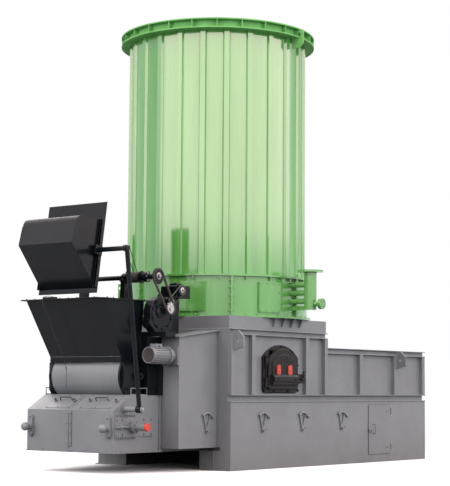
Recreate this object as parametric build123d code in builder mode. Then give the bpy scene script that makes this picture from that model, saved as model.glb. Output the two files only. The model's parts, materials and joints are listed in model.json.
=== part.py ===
"""Chain-grate thermal oil boiler with a coil drum on a boxed furnace.

Frame: millimetres, +Z up, -Y is the stoking front, +X the side with the doors.
The origin lies on the ground under the axis of the round coil drum.
"""

from build123d import *
from math import acos, atan2, cos, hypot, pi, radians, sin
import os

os.makedirs("parts", exist_ok=True)


# Clearances of everything that moves
leaf_gap = 0.3          # between faces that slide or turn past each other
running = 0.05          # radial clearance of a shaft in its bearing

# Widths, from the grate outwards
grate_half = 610
box_wide = 240          # side box beside the grate
body_lap = 200          # how far the furnace stands out past the side boxes
wall_recess = 10
rail_depth = 50
panel_thick = 100
box_outer = grate_half + box_wide
body_half = box_outer + body_lap
lower_face = body_half - wall_recess
panel_face = body_half - rail_depth
cavity_half = panel_face - panel_thick

# Heights, from the ground up
tunnel_top = 210        # ash tunnel under the grate
beam_bottom = 725
beam_high = 80
panel_high = 705
low_drop = 165          # the rear part's roof lies lower
neck_high = 140
ring_high = 470
clad_high = 2730
top_ring_high = 110
beam_top = beam_bottom + beam_high
tall_top = beam_top + panel_high
low_top = tall_top - low_drop
ring_bottom = tall_top + neck_high
clad_bottom = ring_bottom + ring_high
clad_top = clad_bottom + clad_high

# Lengths, from the drum's axis to both ends
step_y = 770            # where the tall front part drops to the low rear part
low_long = 2200
box_long = 630
hopper_gap = 220        # hopper's back stands this far before the side boxes
gate_back = 70          # fuel gate's axis before the hopper's back
grate_reach = 440
front_y = -body_half
rear_y = step_y + low_long
box_front = front_y - box_long
hopper_rear = box_front - hopper_gap
drum_y = hopper_rear - gate_back
grate_front = drum_y - grate_reach

# Furnace shell
deck_thick = 60
rail_high = 66
flange_thick = 10
end_wall = 100
cross_wall = 60         # closes the ash tunnel under the drum's axis
tunnel_end = -cross_wall / 2
ash_floor_top = 98
ash_floor_thick = 68
grate_floor_top = tunnel_top + 40
leg_plate = 20
leg_setback = 10
leg_corner = 200        # half the right leg's width belongs to the corner of the body
left_leg_back = 205     # the left leg stands this far behind the furnace front
foot_lip = 45

# Fire door
fire_back = 925         # door's middle behind the furnace front
fire_half = 330
fire_rim = 100          # cast frame round the opening
fire_frame_thick = 30
fire_leaf_thick = 34
door_pin = 7
fire_y = front_y + fire_back
fire_bottom = beam_top + 20
fire_crown = tall_top - 158
fire_spring = fire_crown - 137
fire_open_half = fire_half - fire_rim
fire_open_bottom = fire_bottom + 65
fire_open_top = fire_spring + 75
fire_hinge_y = fire_y - fire_half + 18

# Access door
access_back = 843       # door's rear edge before the furnace's rear end
access_wide = 486
access_lap = 40         # how far the leaf laps over the wall round its opening
access_thick = 10
access_pin = 5
access_rear = rear_y - access_back
access_front = access_rear - access_wide
access_bottom = ash_floor_top
access_top = beam_bottom - 41

# Neck and coil drum
neck_half = panel_face
neck_front = front_y + 20
neck_rear = step_y + 30
ring_flange = 22
ring_lip = 40
ring_radius = body_half + 10
ring_flange_radius = ring_radius + ring_lip
clad_thick = 78
clad_radius = ring_radius - 52
clad_inner = clad_radius - clad_thick
rib_count = 24
rib_phase = 14
rib_width = 58
rib_root = 82
rib_proud = 27
top_web_radius = clad_radius + 62
top_ring_radius = clad_radius + 126
top_flange = 14
cover_thick = 14
collar_radius = 260
collar_high = 150
collar_wall = 8
collar_flange = 12
collar_lap = 45
collar_bolts = 12
collar_bolt_hole = 9

# Oil header
header_reach = 273      # header's axis from the base ring
header_radius = 70
header_wall = 8
header_flange_radius = 142.5
header_flange_thick = 24
header_pcd = 240
header_bolts = 8
header_bolt_hole = 11
coil_tube_radius = 30
coil_tube_pitch = 92
coil_tube_top = clad_bottom - 96
header_x = ring_radius + header_reach
coil_tube_heights = [coil_tube_top - row * coil_tube_pitch for row in range(3)]
header_bottom = coil_tube_heights[-1] - 99
header_flange_top = clad_bottom + 62
drain_z = header_bottom + 65

# Side boxes
box_bottom = tunnel_top + 35
box_front_top = tall_top - 110
box_rear_top = tall_top - 30
roof_thick = 12
roof_lap = 32

# Grate box and chain grate
grate_plate = 10
grate_deck = 10
grate_bottom = tunnel_top
grate_top = beam_top - 18
grate_fold = grate_top - 157
lid_top_y = drum_y - 180
shaft_y = lid_top_y + 3
shaft_z = grate_bottom + 265
grate_rear_y = step_y + 630
grate_loop_radius = 115
grate_loop_thick = 30
grate_loop_half = grate_half - 50
shaft_radius = 32
shaft_reach = grate_half + 205

# Fuel gate drum cover and hopper
drum_radius = 230
drum_sheet = 8
rim_thick = 22
rim_lap = 14
drum_z = grate_top + 203
drum_half = grate_half - 130
casing_half = grate_half - 80
casing_front = drum_y - 210
hopper_long = 615
hopper_sheet = 8
hopper_rim = 12
hopper_lap = 30
hopper_lip = 95
hopper_bottom_half = grate_half - 110
hopper_top_half = grate_half - 65
hopper_front_bottom = drum_y - 225
hopper_front_top = hopper_rear - hopper_long
hopper_bottom = drum_z + 140
hopper_slope_bottom = hopper_bottom + 60
hopper_top = tall_top + 256
lip_front = hopper_front_top - hopper_lip
throat_top = tall_top - 110

# Bucket and its arm
pivot_radius = 22
pivot_boss = 30
pivot_y = lid_top_y - 106
pivot_z = shaft_z + 180
arm_x = grate_half + 205
arm_tube = 23
arm_hub = 37
arm_hub_half = 28
bucket_lean = 8.34
bucket_half = grate_half - 235
bucket_wall = 6
bucket_bottom_s = 60
bucket_nose_s = 450
bucket_nose_n = 410
bucket_head_s = 780
bucket_foot_y = hopper_front_top + 35
bucket_foot_z = hopper_top + 54
arm_top_y = bucket_foot_y + 4
arm_top_z = bucket_foot_z + 446
rim_half = bucket_half + 40
rim_plate = 6
rim_foot_s = bucket_bottom_s - 50
rim_head_s = bucket_head_s + 186

# Hoist drive: platform, gearbox, winch, chain, belt and motor
platform_high = 50
platform_top = throat_top + platform_high
platform_front = hopper_rear + hopper_lap
platform_rear = box_front - roof_lap
sprocket_x = hopper_top_half + 195
sprocket_thick = 14
chain_pitch = 25.4
big_teeth = 19
small_teeth = 15
roller_radius = 8
link_gap = 0.5          # between a chain wheel's side and the link plates
link_thick = 3.5
link_high = 20
gear_x = (sprocket_x - 160, sprocket_x - 60)
gear_radius = 180
gear_y = hopper_rear + 135
gear_z = platform_top + gear_radius + 6
winch_radius = 25
rope_drum_radius = 50
rope_drum_flange = 64
rope_drum_long = 181
winch_y = hopper_rear
winch_z = hopper_top + 256
stand_inner = hopper_top_half - 283
stand_wide = 64
drum_left = stand_inner + stand_wide + 10
drum_right = drum_left + rope_drum_long
output_radius = 20
output_y = gear_y + 70
output_z = gear_z + 61
belt_x = sprocket_x - 33
belt_half = 7
belt_thick = 8
input_y = gear_y + 123
input_z = gear_z + 132
input_pulley = 38
motor_pulley = 48
stool_front = gear_y + gear_radius - 15
stool_long = 290
stool_rear = stool_front + stool_long
stool_top = platform_top + 380
stool_plate = 12
motor_y = stool_front + 125
motor_z = stool_top + 68
motor_face = sprocket_x - 56
motor_wide = 214
motor_high = 120


def save(part, name):
    """Label one finished piece and write it to its own file."""
    part.label = name
    export_step(part, f"parts/{name}.step")


def block(span_x, span_y, span_z, mode=Mode.ADD):
    """A box in the part being built, given by its limits along X, Y and Z."""
    spans = (span_x, span_y, span_z)
    with Locations(tuple(sum(span) / 2 for span in spans)):
        Box(*(span[1] - span[0] for span in spans), mode=mode)


def slabs(name, *blocks):
    """Plain slabs that share one node."""
    with BuildPart() as piece:
        for spans in blocks:
            block(*spans)
    save(piece.part, name)


def mirrored(span):
    """The same span on the other side of the middle plane."""
    return (-span[1], -span[0])


def side_profile(name, points, spans):
    """A profile drawn in the YZ plane, extruded over one or more spans of X."""
    with BuildPart() as piece:
        for x0, x1 in spans:
            with BuildSketch(Plane.YZ.offset(x0)):
                with BuildLine():
                    Polyline(*points, close=True)
                make_face()
            extrude(amount=x1 - x0)
    save(piece.part, name)


def discs(y, z, steps):
    """Stepped round bar along X in the part being built: its ends and radius at each step."""
    for x0, x1, radius in steps:
        with Locations(Location(((x0 + x1) / 2, y, z), (0, 90, 0))):
            Cylinder(radius, x1 - x0)


def radial_plane(angle):
    """Upright plane through the drum's axis: first axis outwards, second axis up."""
    turn = radians(angle)
    return Plane(origin=(0, 0, 0), x_dir=(cos(turn), sin(turn), 0), z_dir=(sin(turn), -cos(turn), 0))


# Lined furnace walls, split beside and over the two openings
wall_span = (cavity_half, lower_face)
panel_span = (cavity_half, panel_face)
hole_front = access_front + access_lap
hole_rear = access_rear - access_lap
hole_bottom = access_bottom + access_lap
hole_top = access_top - access_lap
fire_front = fire_y - fire_open_half
fire_rear = fire_y + fire_open_half

slabs("right_wall_front",
      (wall_span, (front_y, hole_front), (0, beam_bottom)),
      (panel_span, (front_y, fire_front), (beam_top, tall_top)))
slabs("right_wall_rear", (wall_span, (hole_rear, rear_y), (0, beam_bottom)))
slabs("access_bay",
      (wall_span, (hole_front, hole_rear), (0, hole_bottom)),
      (wall_span, (hole_front, hole_rear), (hole_top, beam_bottom)))
side_profile("right_panel_rear",
             [(fire_rear, beam_top), (rear_y, beam_top), (rear_y, low_top), (step_y, low_top),
              (step_y, tall_top), (fire_rear, tall_top)],
             [panel_span])
slabs("fire_door_bay",
      (panel_span, (fire_front, fire_rear), (beam_top, fire_open_bottom)),
      (panel_span, (fire_front, fire_rear), (fire_open_top, tall_top)))
left_leg_y = front_y + left_leg_back
side_profile("left_wall",
             [(left_leg_y, 0), (rear_y, 0), (rear_y, beam_bottom), (front_y, beam_bottom),
              (front_y, tunnel_top), (left_leg_y, tunnel_top)],
             [mirrored(wall_span)])
side_profile("left_panel",
             [(front_y, beam_top), (rear_y, beam_top), (rear_y, low_top), (step_y, low_top),
              (step_y, tall_top), (front_y, tall_top)],
             [mirrored(panel_span)])
cavity_span = (-cavity_half, cavity_half)
with BuildPart() as end_walls:
    block(cavity_span, (front_y, front_y + end_wall), (grate_top + grate_deck, tall_top))
    for side in (1, -1):
        block(sorted((side * box_outer, side * cavity_half)), (front_y, front_y + end_wall),
              (grate_floor_top, grate_top + grate_deck))
    block(cavity_span, (rear_y - end_wall, rear_y), (0, low_top))
save(end_walls.part, "end_walls")
side_profile("roof_deck",
             [(front_y + end_wall, tall_top - deck_thick), (front_y + end_wall, tall_top),
              (step_y, tall_top), (step_y, low_top), (rear_y - end_wall, low_top),
              (rear_y - end_wall, low_top - deck_thick), (step_y - deck_thick, low_top - deck_thick),
              (step_y - deck_thick, tall_top - deck_thick)],
             [cavity_span])
side_profile("furnace_floor",
             [(front_y, tunnel_top), (tunnel_end, tunnel_top), (tunnel_end, 0),
              (tunnel_end + cross_wall, 0), (tunnel_end + cross_wall, ash_floor_top - ash_floor_thick),
              (rear_y - end_wall, ash_floor_top - ash_floor_thick), (rear_y - end_wall, ash_floor_top),
              (tunnel_end + cross_wall, ash_floor_top), (tunnel_end + cross_wall, grate_floor_top),
              (front_y, grate_floor_top)],
             [cavity_span])

# Plates that close the two front legs beside the ash tunnel
leg_front = front_y + leg_setback
leg_seam = grate_half + leg_corner
side_plate = (grate_half, grate_half + leg_plate)
slabs("tunnel_sides",
      (side_plate, (leg_front + leg_plate, tunnel_end), (0, tunnel_top)),
      (mirrored(side_plate), (left_leg_y + leg_plate, tunnel_end), (0, tunnel_top)))
slabs("leg_fronts",
      ((grate_half, leg_seam), (leg_front, leg_front + leg_plate), (0, tunnel_top)),
      ((leg_seam, cavity_half), (front_y, leg_front + leg_plate), (0, tunnel_top)),
      ((grate_half, leg_seam), (leg_front - foot_lip, leg_front), (0, flange_thick)),
      (mirrored((grate_half, cavity_half)), (left_leg_y, left_leg_y + leg_plate), (0, tunnel_top)),
      (mirrored((grate_half, lower_face)), (left_leg_y - foot_lip, left_leg_y), (0, flange_thick)))

# Channel frame on both sides
with BuildPart() as frame_rails:
    with BuildSketch(Plane.XZ.offset(-rear_y)):
        with BuildLine():
            Polyline((cavity_half, beam_bottom), (body_half, beam_bottom),
                     (body_half, beam_bottom + flange_thick), (panel_face, beam_bottom + flange_thick),
                     (panel_face, beam_top - flange_thick), (body_half, beam_top - flange_thick),
                     (body_half, beam_top), (cavity_half, beam_top), close=True)
        make_face()
        mirror(about=Plane.YZ)
    extrude(amount=rear_y - front_y)
    for y_span, top in (((front_y, step_y), tall_top), ((step_y, rear_y), low_top)):
        for span, edge in (((panel_face, body_half), (panel_face, panel_face + flange_thick)),):
            for x_span, z_span in ((span, (top - rail_high, top - rail_high + flange_thick)),
                                   (span, (top - flange_thick, top)),
                                   (edge, (top - rail_high, top))):
                block(x_span, y_span, z_span)
                block(mirrored(x_span), y_span, z_span)
save(frame_rails.part, "frame_rails")

post_half = 31
tall_posts = (front_y + 30, fire_y - 531, fire_y + 485, step_y - 32)
low_posts = (rear_y - 1490, rear_y - 714, rear_y - 45)
with BuildPart() as frame_posts:
    for y, top in ([(y, tall_top) for y in tall_posts] + [(y, low_top) for y in low_posts]):
        for x_span in ((panel_face, body_half), (-body_half, -panel_face)):
            block(x_span, (y - post_half, y + post_half), (beam_top, top - rail_high))
save(frame_posts.part, "frame_posts")

lug_reach = 128
lug_thick = 20
lug_hole = 20
lug_high = 220
lugs = ((front_y + 46, tall_top - 20), (rear_y - 680, low_top - 8))
with BuildPart() as lifting_lugs:
    for y, top in lugs:
        with BuildSketch(Plane.XZ.offset(-y - lug_thick / 2)):
            with BuildLine():
                Polyline((body_half, top - lug_high), (body_half + lug_reach, top - lug_high + 40),
                         (body_half + lug_reach, top - 70), (body_half + 58, top), (body_half, top),
                         close=True)
            make_face()
            with Locations((body_half + 52, top - 105)):
                Circle(lug_hole, mode=Mode.SUBTRACT)
            mirror(about=Plane.YZ)
        extrude(amount=lug_thick)
save(lifting_lugs.part, "lifting_lugs")


# Cast fire door with its arched frame
def arched_face(half, bottom, spring, crown):
    """Arched outline round the fire door's middle, in the YZ plane."""
    with BuildLine() as outline:
        Polyline((fire_y - half, spring), (fire_y - half, bottom), (fire_y + half, bottom),
                 (fire_y + half, spring))
        ThreePointArc((fire_y + half, spring), (fire_y, crown), (fire_y - half, spring))
    make_face(outline.edges())


fire_corner = 55
leaf_corner = 30
panel_rise = 14
leaf_half = fire_half - 55
leaf_bottom = fire_bottom + 37
leaf_spring = fire_spring - 25
leaf_crown = fire_crown - 40
fire_frame_x = panel_face + fire_frame_thick
fire_leaf_x = fire_frame_x + leaf_gap
fire_face_x = fire_leaf_x + fire_leaf_thick
fire_panel_x = fire_face_x + panel_rise
fire_axis_x = fire_frame_x + 22
knuckle = 16
knuckle_high = 50
fire_hinges = (fire_bottom + 110, fire_spring - 35)
latch_z = fire_bottom + 155
latch_y = fire_y + fire_half
with BuildPart() as fire_door_frame:
    with BuildSketch(Plane.YZ.offset(panel_face)) as frame_face:
        arched_face(fire_half, fire_bottom, fire_spring, fire_crown)
        fillet(frame_face.vertices().group_by(Axis.Y)[0], fire_corner)
    extrude(amount=fire_frame_thick)
    chamfer(fire_door_frame.faces().sort_by(Axis.X)[-1].edges(), 8)
    block((panel_face, fire_frame_x), (fire_front, fire_rear), (fire_open_bottom, fire_open_top),
          mode=Mode.SUBTRACT)
    for z in fire_hinges:
        for end in (z - knuckle_high / 2 - 25, z + knuckle_high / 2 + 1):
            block((fire_frame_x - 1, fire_axis_x), (fire_hinge_y - knuckle, fire_hinge_y + knuckle),
                  (end, end + 24))
            with Locations((fire_axis_x, fire_hinge_y, end + 12)):
                Cylinder(knuckle, 24)
        with Locations((fire_axis_x, fire_hinge_y, z)):
            Cylinder(door_pin, knuckle_high + 4)
    block((fire_frame_x - 1, fire_frame_x + 24), (latch_y - 30, latch_y - 10), (latch_z - 45, latch_z + 45))
save(fire_door_frame.part, "fire_door_frame")

ledge_half = leaf_half - 40
ledge_bottom = leaf_bottom + 43
ledge_top = ledge_bottom + 120
with BuildPart() as fire_door:
    with BuildSketch(Plane.YZ.offset(fire_leaf_x)) as leaf_face:
        arched_face(leaf_half, leaf_bottom, leaf_spring, leaf_crown)
        fillet(leaf_face.vertices().group_by(Axis.Y)[0], leaf_corner)
    extrude(amount=fire_leaf_thick)
    chamfer(fire_door.faces().sort_by(Axis.X)[-1].edges(), 10)
    with BuildSketch(Plane.YZ.offset(fire_face_x)):
        arched_face(leaf_half - 55, leaf_bottom + 38, leaf_spring - 30, leaf_crown - 60)
    extrude(amount=panel_rise)
    chamfer(fire_door.faces().sort_by(Axis.X)[-1].edges(), 8)
    with BuildSketch(Plane.XZ.offset(-fire_y - ledge_half)):
        with BuildLine():
            Polyline((fire_face_x - 1, ledge_bottom), (fire_panel_x + 18, ledge_bottom + 12),
                     (fire_panel_x + 18, ledge_bottom + 38), (fire_panel_x + 34, ledge_bottom + 46),
                     (fire_panel_x + 34, ledge_bottom + 96), (fire_panel_x + 12, ledge_top),
                     (fire_face_x - 1, ledge_top), close=True)
        make_face()
    extrude(amount=2 * ledge_half)
    for z in fire_hinges:
        with Locations((fire_axis_x, fire_hinge_y, z)):
            Cylinder(knuckle, knuckle_high)
        block((fire_leaf_x + 14, fire_face_x - 4), (fire_hinge_y, fire_y - leaf_half + 20), (z - 18, z + 18))
        with Locations((fire_axis_x, fire_hinge_y, z)):
            Cylinder(door_pin + running, knuckle_high, mode=Mode.SUBTRACT)
    block((fire_leaf_x + 30, fire_face_x + 26), (fire_y + leaf_half - 30, latch_y + 42),
          (latch_z - 50, latch_z + 54))
save(fire_door.part, "fire_door")

flap_thick = 14
flap_spans = ((fire_y - 158, fire_y - 93), (fire_y + 52, fire_y + 124))
with BuildPart() as door_flaps:
    for y0, y1 in flap_spans:
        block((fire_panel_x, fire_panel_x + flap_thick), (y0, y1), (ledge_top + 2, ledge_top + 100))
    fillet(door_flaps.edges().filter_by(Axis.X), 10)
save(door_flaps.part, "door_flaps")

# Flush access door in the lower wall
access_x = lower_face + leaf_gap
access_face_x = access_x + access_thick
access_axis_x = lower_face + 13
access_hinge_y = access_rear + 14
access_knuckle = 10
access_hinges = (access_bottom + 80, access_top - 80)
access_latch_z = (access_bottom + access_top) / 2 - 10
with BuildPart() as access_door:
    block((access_x, access_face_x), (access_front, access_rear), (access_bottom, access_top))
    for z in access_hinges:
        block((access_x, access_face_x), (access_rear - 4, access_hinge_y), (z - 35, z + 35))
        with Locations((access_axis_x, access_hinge_y, z)):
            Cylinder(access_knuckle, 70)
            Cylinder(access_pin + running, 70, mode=Mode.SUBTRACT)
    block((access_face_x, access_face_x + 20), (access_front - 8, access_front + 52),
          (access_latch_z - 17, access_latch_z + 17))
save(access_door.part, "access_door")

# Air dampers: a pair of levers on each cross shaft
damper_z = beam_bottom - 305
damper_pin = 8
lever_thick = 10
lever_stand = 6
lever_half = 66
lever_high = 180
lever_bar = 13
grip_radius = 11
lever_outer = lever_stand + lever_thick
dampers = (("damper_lever_front", box_outer, front_y - 178),
           ("damper_lever_second", lower_face, front_y + 562),
           ("damper_lever_third", lower_face, front_y + 1308),
           ("damper_lever_rear", lower_face, step_y + 283))
for name, face, y in dampers:
    with BuildPart() as lever:
        with BuildSketch(Plane.YZ.offset(face + lever_stand)):
            with BuildLine():
                Polyline((y - lever_bar, damper_z), (y - lever_half, damper_z + lever_high),
                         (y + lever_half, damper_z + lever_high), (y + lever_bar, damper_z), close=True)
            make_face()
            with BuildLine():
                Polyline((y, damper_z + 34), (y - lever_half + lever_bar, damper_z + lever_high + 1),
                         (y + lever_half - lever_bar, damper_z + lever_high + 1), close=True)
            make_face(mode=Mode.SUBTRACT)
            with Locations((y + 30, damper_z + 14)):
                Rectangle(56, 14)
            with Locations((y, damper_z)):
                Circle(22)
                Circle(damper_pin + running, mode=Mode.SUBTRACT)
        extrude(amount=lever_thick)
        with BuildLine(Plane.YZ.offset(face + lever_stand + grip_radius)) as grip:
            arc = ThreePointArc((y - lever_half - 8, damper_z + lever_high - 20),
                                (y, damper_z + lever_high + 8),
                                (y + lever_half + 8, damper_z + lever_high - 20))
            Line(arc @ 1, (y + lever_half + 42, damper_z + lever_high - 42))
        with BuildSketch(Plane(origin=grip.line @ 0, z_dir=grip.line % 0)):
            Circle(grip_radius)
        sweep(path=grip.line, transition=Transition.ROUND)
        mirror(about=Plane.YZ)
    save(lever.part, name)

with BuildPart() as pivot_pins:
    for name, face, y in dampers:
        discs(y, damper_z, ((face, face + lever_stand - leaf_gap, 18),
                            (face, face + lever_outer + 12, damper_pin),
                            (face + lever_outer + leaf_gap, face + lever_outer + 12, 14)))
    mirror(about=Plane.YZ)
    for z in access_hinges:
        with Locations((access_axis_x, access_hinge_y, z)):
            Cylinder(access_pin, 110)
        for end in (z - 56, z + 36):
            with Locations((access_axis_x, access_hinge_y, end + 10)):
                Cylinder(access_knuckle, 20)
            block((lower_face, access_axis_x), (access_hinge_y - 10, access_hinge_y + 10), (end, end + 20))
save(pivot_pins.part, "pivot_pins")

# Neck block under the drum, with brackets under the overhanging ring
gusset_thick = 12
gusset_high = 95
with BuildPart() as neck_block:
    block((-neck_half, neck_half), (neck_front, neck_rear), (tall_top, ring_bottom))
    for y in (-250, -85, 85, 250):
        with BuildSketch(Plane.XZ.offset(-y - gusset_thick / 2)):
            with BuildLine():
                Polyline((neck_half - 1, ring_bottom), (neck_half - 1, ring_bottom - gusset_high),
                         (neck_half + 18, ring_bottom - gusset_high), (neck_half + 62, ring_bottom),
                         close=True)
            make_face()
            mirror(about=Plane.YZ)
        extrude(amount=gusset_thick)
save(neck_block.part, "neck_block")

# Side boxes with overhanging sheet roofs
box_span = (grate_half, box_outer)
side_profile("side_boxes",
             [(box_front, box_bottom), (front_y, box_bottom), (front_y, box_rear_top),
              (box_front, box_front_top)],
             [box_span, mirrored(box_span)])
roof_span = (grate_half, box_outer + roof_lap)
roof_drop = (box_rear_top - box_front_top) * roof_lap / box_long
side_profile("side_box_roofs",
             [(box_front - roof_lap, box_front_top - roof_drop), (front_y, box_rear_top),
              (front_y, box_rear_top + roof_thick),
              (box_front - roof_lap, box_front_top - roof_drop + roof_thick)],
             [roof_span, mirrored(roof_span)])

# Grate box: bottom, front and side plates, open to the furnace behind
bottom_lip = 14
strip_half = 32
lug_foot_z = shaft_z - 112
with BuildPart() as grate_box:
    with BuildSketch(Plane.YZ.offset(-grate_half)):
        with BuildLine():
            Polyline((grate_front, grate_bottom), (grate_front, grate_fold), (lid_top_y, grate_top),
                     (front_y, grate_top), (front_y, grate_bottom), close=True)
        make_face()
    extrude(amount=2 * grate_half)
    inner_half = grate_half - grate_plate
    with BuildSketch(Plane.YZ.offset(-inner_half)):
        with BuildLine():
            Polyline((grate_front + grate_plate, grate_bottom + grate_plate),
                     (grate_front + grate_plate, grate_top), (front_y, grate_top),
                     (front_y, grate_bottom + grate_plate), close=True)
        make_face()
    extrude(amount=2 * inner_half, mode=Mode.SUBTRACT)
    block((-grate_half, grate_half), (lid_top_y, front_y), (grate_top, grate_top + grate_deck))
    block((-grate_half - bottom_lip, grate_half + bottom_lip), (grate_front - bottom_lip, box_front),
          (grate_bottom, grate_bottom + flange_thick))
    block((-strip_half, strip_half), (grate_front - 12, grate_front), (grate_bottom + 60, grate_fold - 4))
    with Locations((-8, grate_front - 16, (grate_bottom + grate_fold) / 2 + 20)):
        Cylinder(9, grate_fold - grate_bottom - 80)
    for side in (1, -1):
        block(sorted((side * grate_half, side * (grate_half + bottom_lip))), (box_front - 40, box_front - 30),
              (grate_bottom, grate_top))
        lug_x = side * (grate_half - 65)
        with BuildSketch(Plane.XZ.offset(-grate_front)):
            with Locations((lug_x, lug_foot_z + 112)):
                SlotOverall(226, 62, rotation=90)
        extrude(amount=28)
        with Locations(Location((lug_x, grate_front - 52, lug_foot_z + 100), (90, 0, 0))):
            Cylinder(20, 60)
        with Locations((lug_x, grate_front - 98, lug_foot_z + 100)):
            Sphere(44)
save(grate_box.part, "grate_box")

# Screwed lids on the slope, each with knobs and a wire handle
lid_seam = 6
lid_slope = atan2(grate_top - grate_fold, lid_top_y - grate_front)
lid_long = hypot(grate_top - grate_fold, lid_top_y - grate_front)
lid_rise = grate_plate / cos(lid_slope)
lid_panel = 5
handle_rod = 5
handle_stand = 46
lid_plane = Plane(origin=(0, grate_front, grate_fold + lid_rise), x_dir=(1, 0, 0),
                  z_dir=(0, -sin(lid_slope), cos(lid_slope)))
lid_panels = ((-380, -35), (110, 545))
lid_handles = ((-270, -95), (235, 410))
with BuildPart() as grate_lids:
    for x0, x1 in ((-grate_half, -lid_seam / 2), (lid_seam / 2, grate_half)):
        with BuildSketch(Plane.YZ.offset(x0)):
            with BuildLine():
                Polyline((grate_front, grate_fold), (grate_front, grate_fold + lid_rise),
                         (lid_top_y, grate_top + lid_rise), (lid_top_y, grate_top), close=True)
            make_face()
        extrude(amount=x1 - x0)
    for x0, x1 in lid_panels:
        with BuildSketch(lid_plane):
            with Locations(((x0 + x1) / 2, lid_long / 2)):
                Rectangle(x1 - x0, lid_long - 60)
        extrude(amount=lid_panel)
    with BuildSketch(lid_plane):
        with Locations(*((x, lid_long / 2 + 8) for panel in lid_panels for x in (panel[0] + 54, panel[1] - 20))):
            Circle(13)
    extrude(amount=26)
    for x0, x1 in lid_handles:
        with BuildLine(Plane(origin=lid_plane.from_local_coords((0, lid_long / 2 + 20, 0)),
                             x_dir=(1, 0, 0), z_dir=-lid_plane.y_dir)) as handle:
            FilletPolyline((x0, 0), (x0 + 6, handle_stand), (x1 - 6, handle_stand), (x1, 0), radius=16)
        with BuildSketch(Plane(origin=handle.line @ 0, z_dir=handle.line % 0)):
            Circle(handle_rod)
        sweep(path=handle.line)
save(grate_lids.part, "grate_lids")

# Tension plates with the front shaft's bosses and adjusting racks
plate_thick = 12
plate_half_high = 98
boss_long = 64
rack_teeth = 12
rack_pitch = 26
rack_high = 26
with BuildPart() as tension_plates:
    for side in (1, -1):
        face = sorted((side * grate_half, side * (grate_half + plate_thick)))
        block(face, (grate_front + 10, hopper_rear + 70), (shaft_z - plate_half_high, shaft_z + plate_half_high))
        for z in (shaft_z - plate_half_high - rack_high / 2, shaft_z + plate_half_high + rack_high / 2):
            for tooth in range(rack_teeth):
                y = grate_front + 20 + tooth * rack_pitch
                block(face, (y, y + rack_pitch / 2), (z - rack_high / 2, z + rack_high / 2))
        near = side * grate_half
        for reach, radius in ((plate_thick + boss_long, 62), (shaft_reach - grate_half, shaft_radius + 6)):
            with Locations(Location((near + side * reach / 2, shaft_y, shaft_z), (0, 90, 0))):
                Cylinder(radius, reach)
save(tension_plates.part, "tension_plates")

cap_long = 30
with BuildPart() as shaft_caps:
    for side in (1, -1):
        with Locations(Location((side * (shaft_reach + cap_long / 2), shaft_y, shaft_z), (0, 90, 0))):
            Cylinder(shaft_radius + 10, cap_long)
    fillet(shaft_caps.edges().group_by(Axis.X)[0] + shaft_caps.edges().group_by(Axis.X)[-1], 6)
save(shaft_caps.part, "shaft_caps")

with BuildPart() as chain_grate:
    with BuildSketch(Plane.YZ.offset(-grate_loop_half)):
        with Locations(((shaft_y + grate_rear_y) / 2, shaft_z)):
            SlotCenterToCenter(grate_rear_y - shaft_y, 2 * grate_loop_radius)
            SlotCenterToCenter(grate_rear_y - shaft_y, 2 * (grate_loop_radius - grate_loop_thick),
                               mode=Mode.SUBTRACT)
    extrude(amount=2 * grate_loop_half)
save(chain_grate.part, "chain_grate")

grate_wheel_half = grate_loop_half - 100
with BuildPart() as grate_shafts:
    for y, reach in ((shaft_y, grate_half - grate_plate), (grate_rear_y, cavity_half)):
        discs(y, shaft_z, ((-reach, reach, shaft_radius),
                           (-grate_wheel_half, grate_wheel_half, grate_loop_radius - grate_loop_thick)))
save(grate_shafts.part, "grate_shafts")


# Rounded cover of the fuel gate between two rims, with black casing plates beside it
def gate_arc(radius, back):
    """Front part of a disc on the gate's axis, cut off at the deck, the hopper and behind."""
    with BuildSketch(mode=Mode.PRIVATE) as arc_face:
        with Locations((drum_y, drum_z)):
            Circle(radius)
        with Locations(((drum_y + back + drum_y - 2 * radius) / 2, (grate_top + grate_deck + hopper_bottom) / 2)):
            Rectangle(2 * radius + back, hopper_bottom - grate_top - grate_deck, mode=Mode.INTERSECT)
    return arc_face.sketch


with BuildPart() as drum_cover:
    with BuildSketch(Plane.YZ.offset(-drum_half)):
        add(gate_arc(drum_radius, 0))
        with Locations((drum_y, drum_z)):
            Circle(drum_radius - drum_sheet, mode=Mode.SUBTRACT)
    extrude(amount=2 * drum_half)
save(drum_cover.part, "drum_cover")

casing_thick = casing_half - drum_half - rim_thick
gate_boss = 35
shelf_reach = 76
with BuildPart() as feed_casing:
    for x0 in (drum_half, -drum_half - rim_thick):
        with BuildSketch(Plane.YZ.offset(x0)):
            add(gate_arc(drum_radius + rim_lap, 30))
        extrude(amount=rim_thick)
    for x0 in (drum_half + rim_thick, -casing_half):
        with BuildSketch(Plane.YZ.offset(x0)):
            with BuildLine():
                Polyline((casing_front + 40, grate_top + grate_deck), (casing_front, grate_top + 60),
                         (casing_front, hopper_bottom), (hopper_rear, hopper_bottom),
                         (hopper_rear, grate_top + grate_deck), close=True)
            make_face()
        extrude(amount=casing_thick)
    for side in (1, -1):
        near = side * casing_half
        shelf = sorted((near, near + side * shelf_reach))
        shelf_y = (lid_top_y, hopper_rear)
        for z_span in ((grate_top + grate_deck, grate_top + grate_deck + 8), (grate_top + 75, grate_top + 83)):
            block(shelf, shelf_y, z_span)
        with Locations(Location((near + side * 30, drum_y, drum_z), (0, 90, 0))):
            Cylinder(gate_boss, 60)
save(feed_casing.part, "feed_casing")

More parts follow.
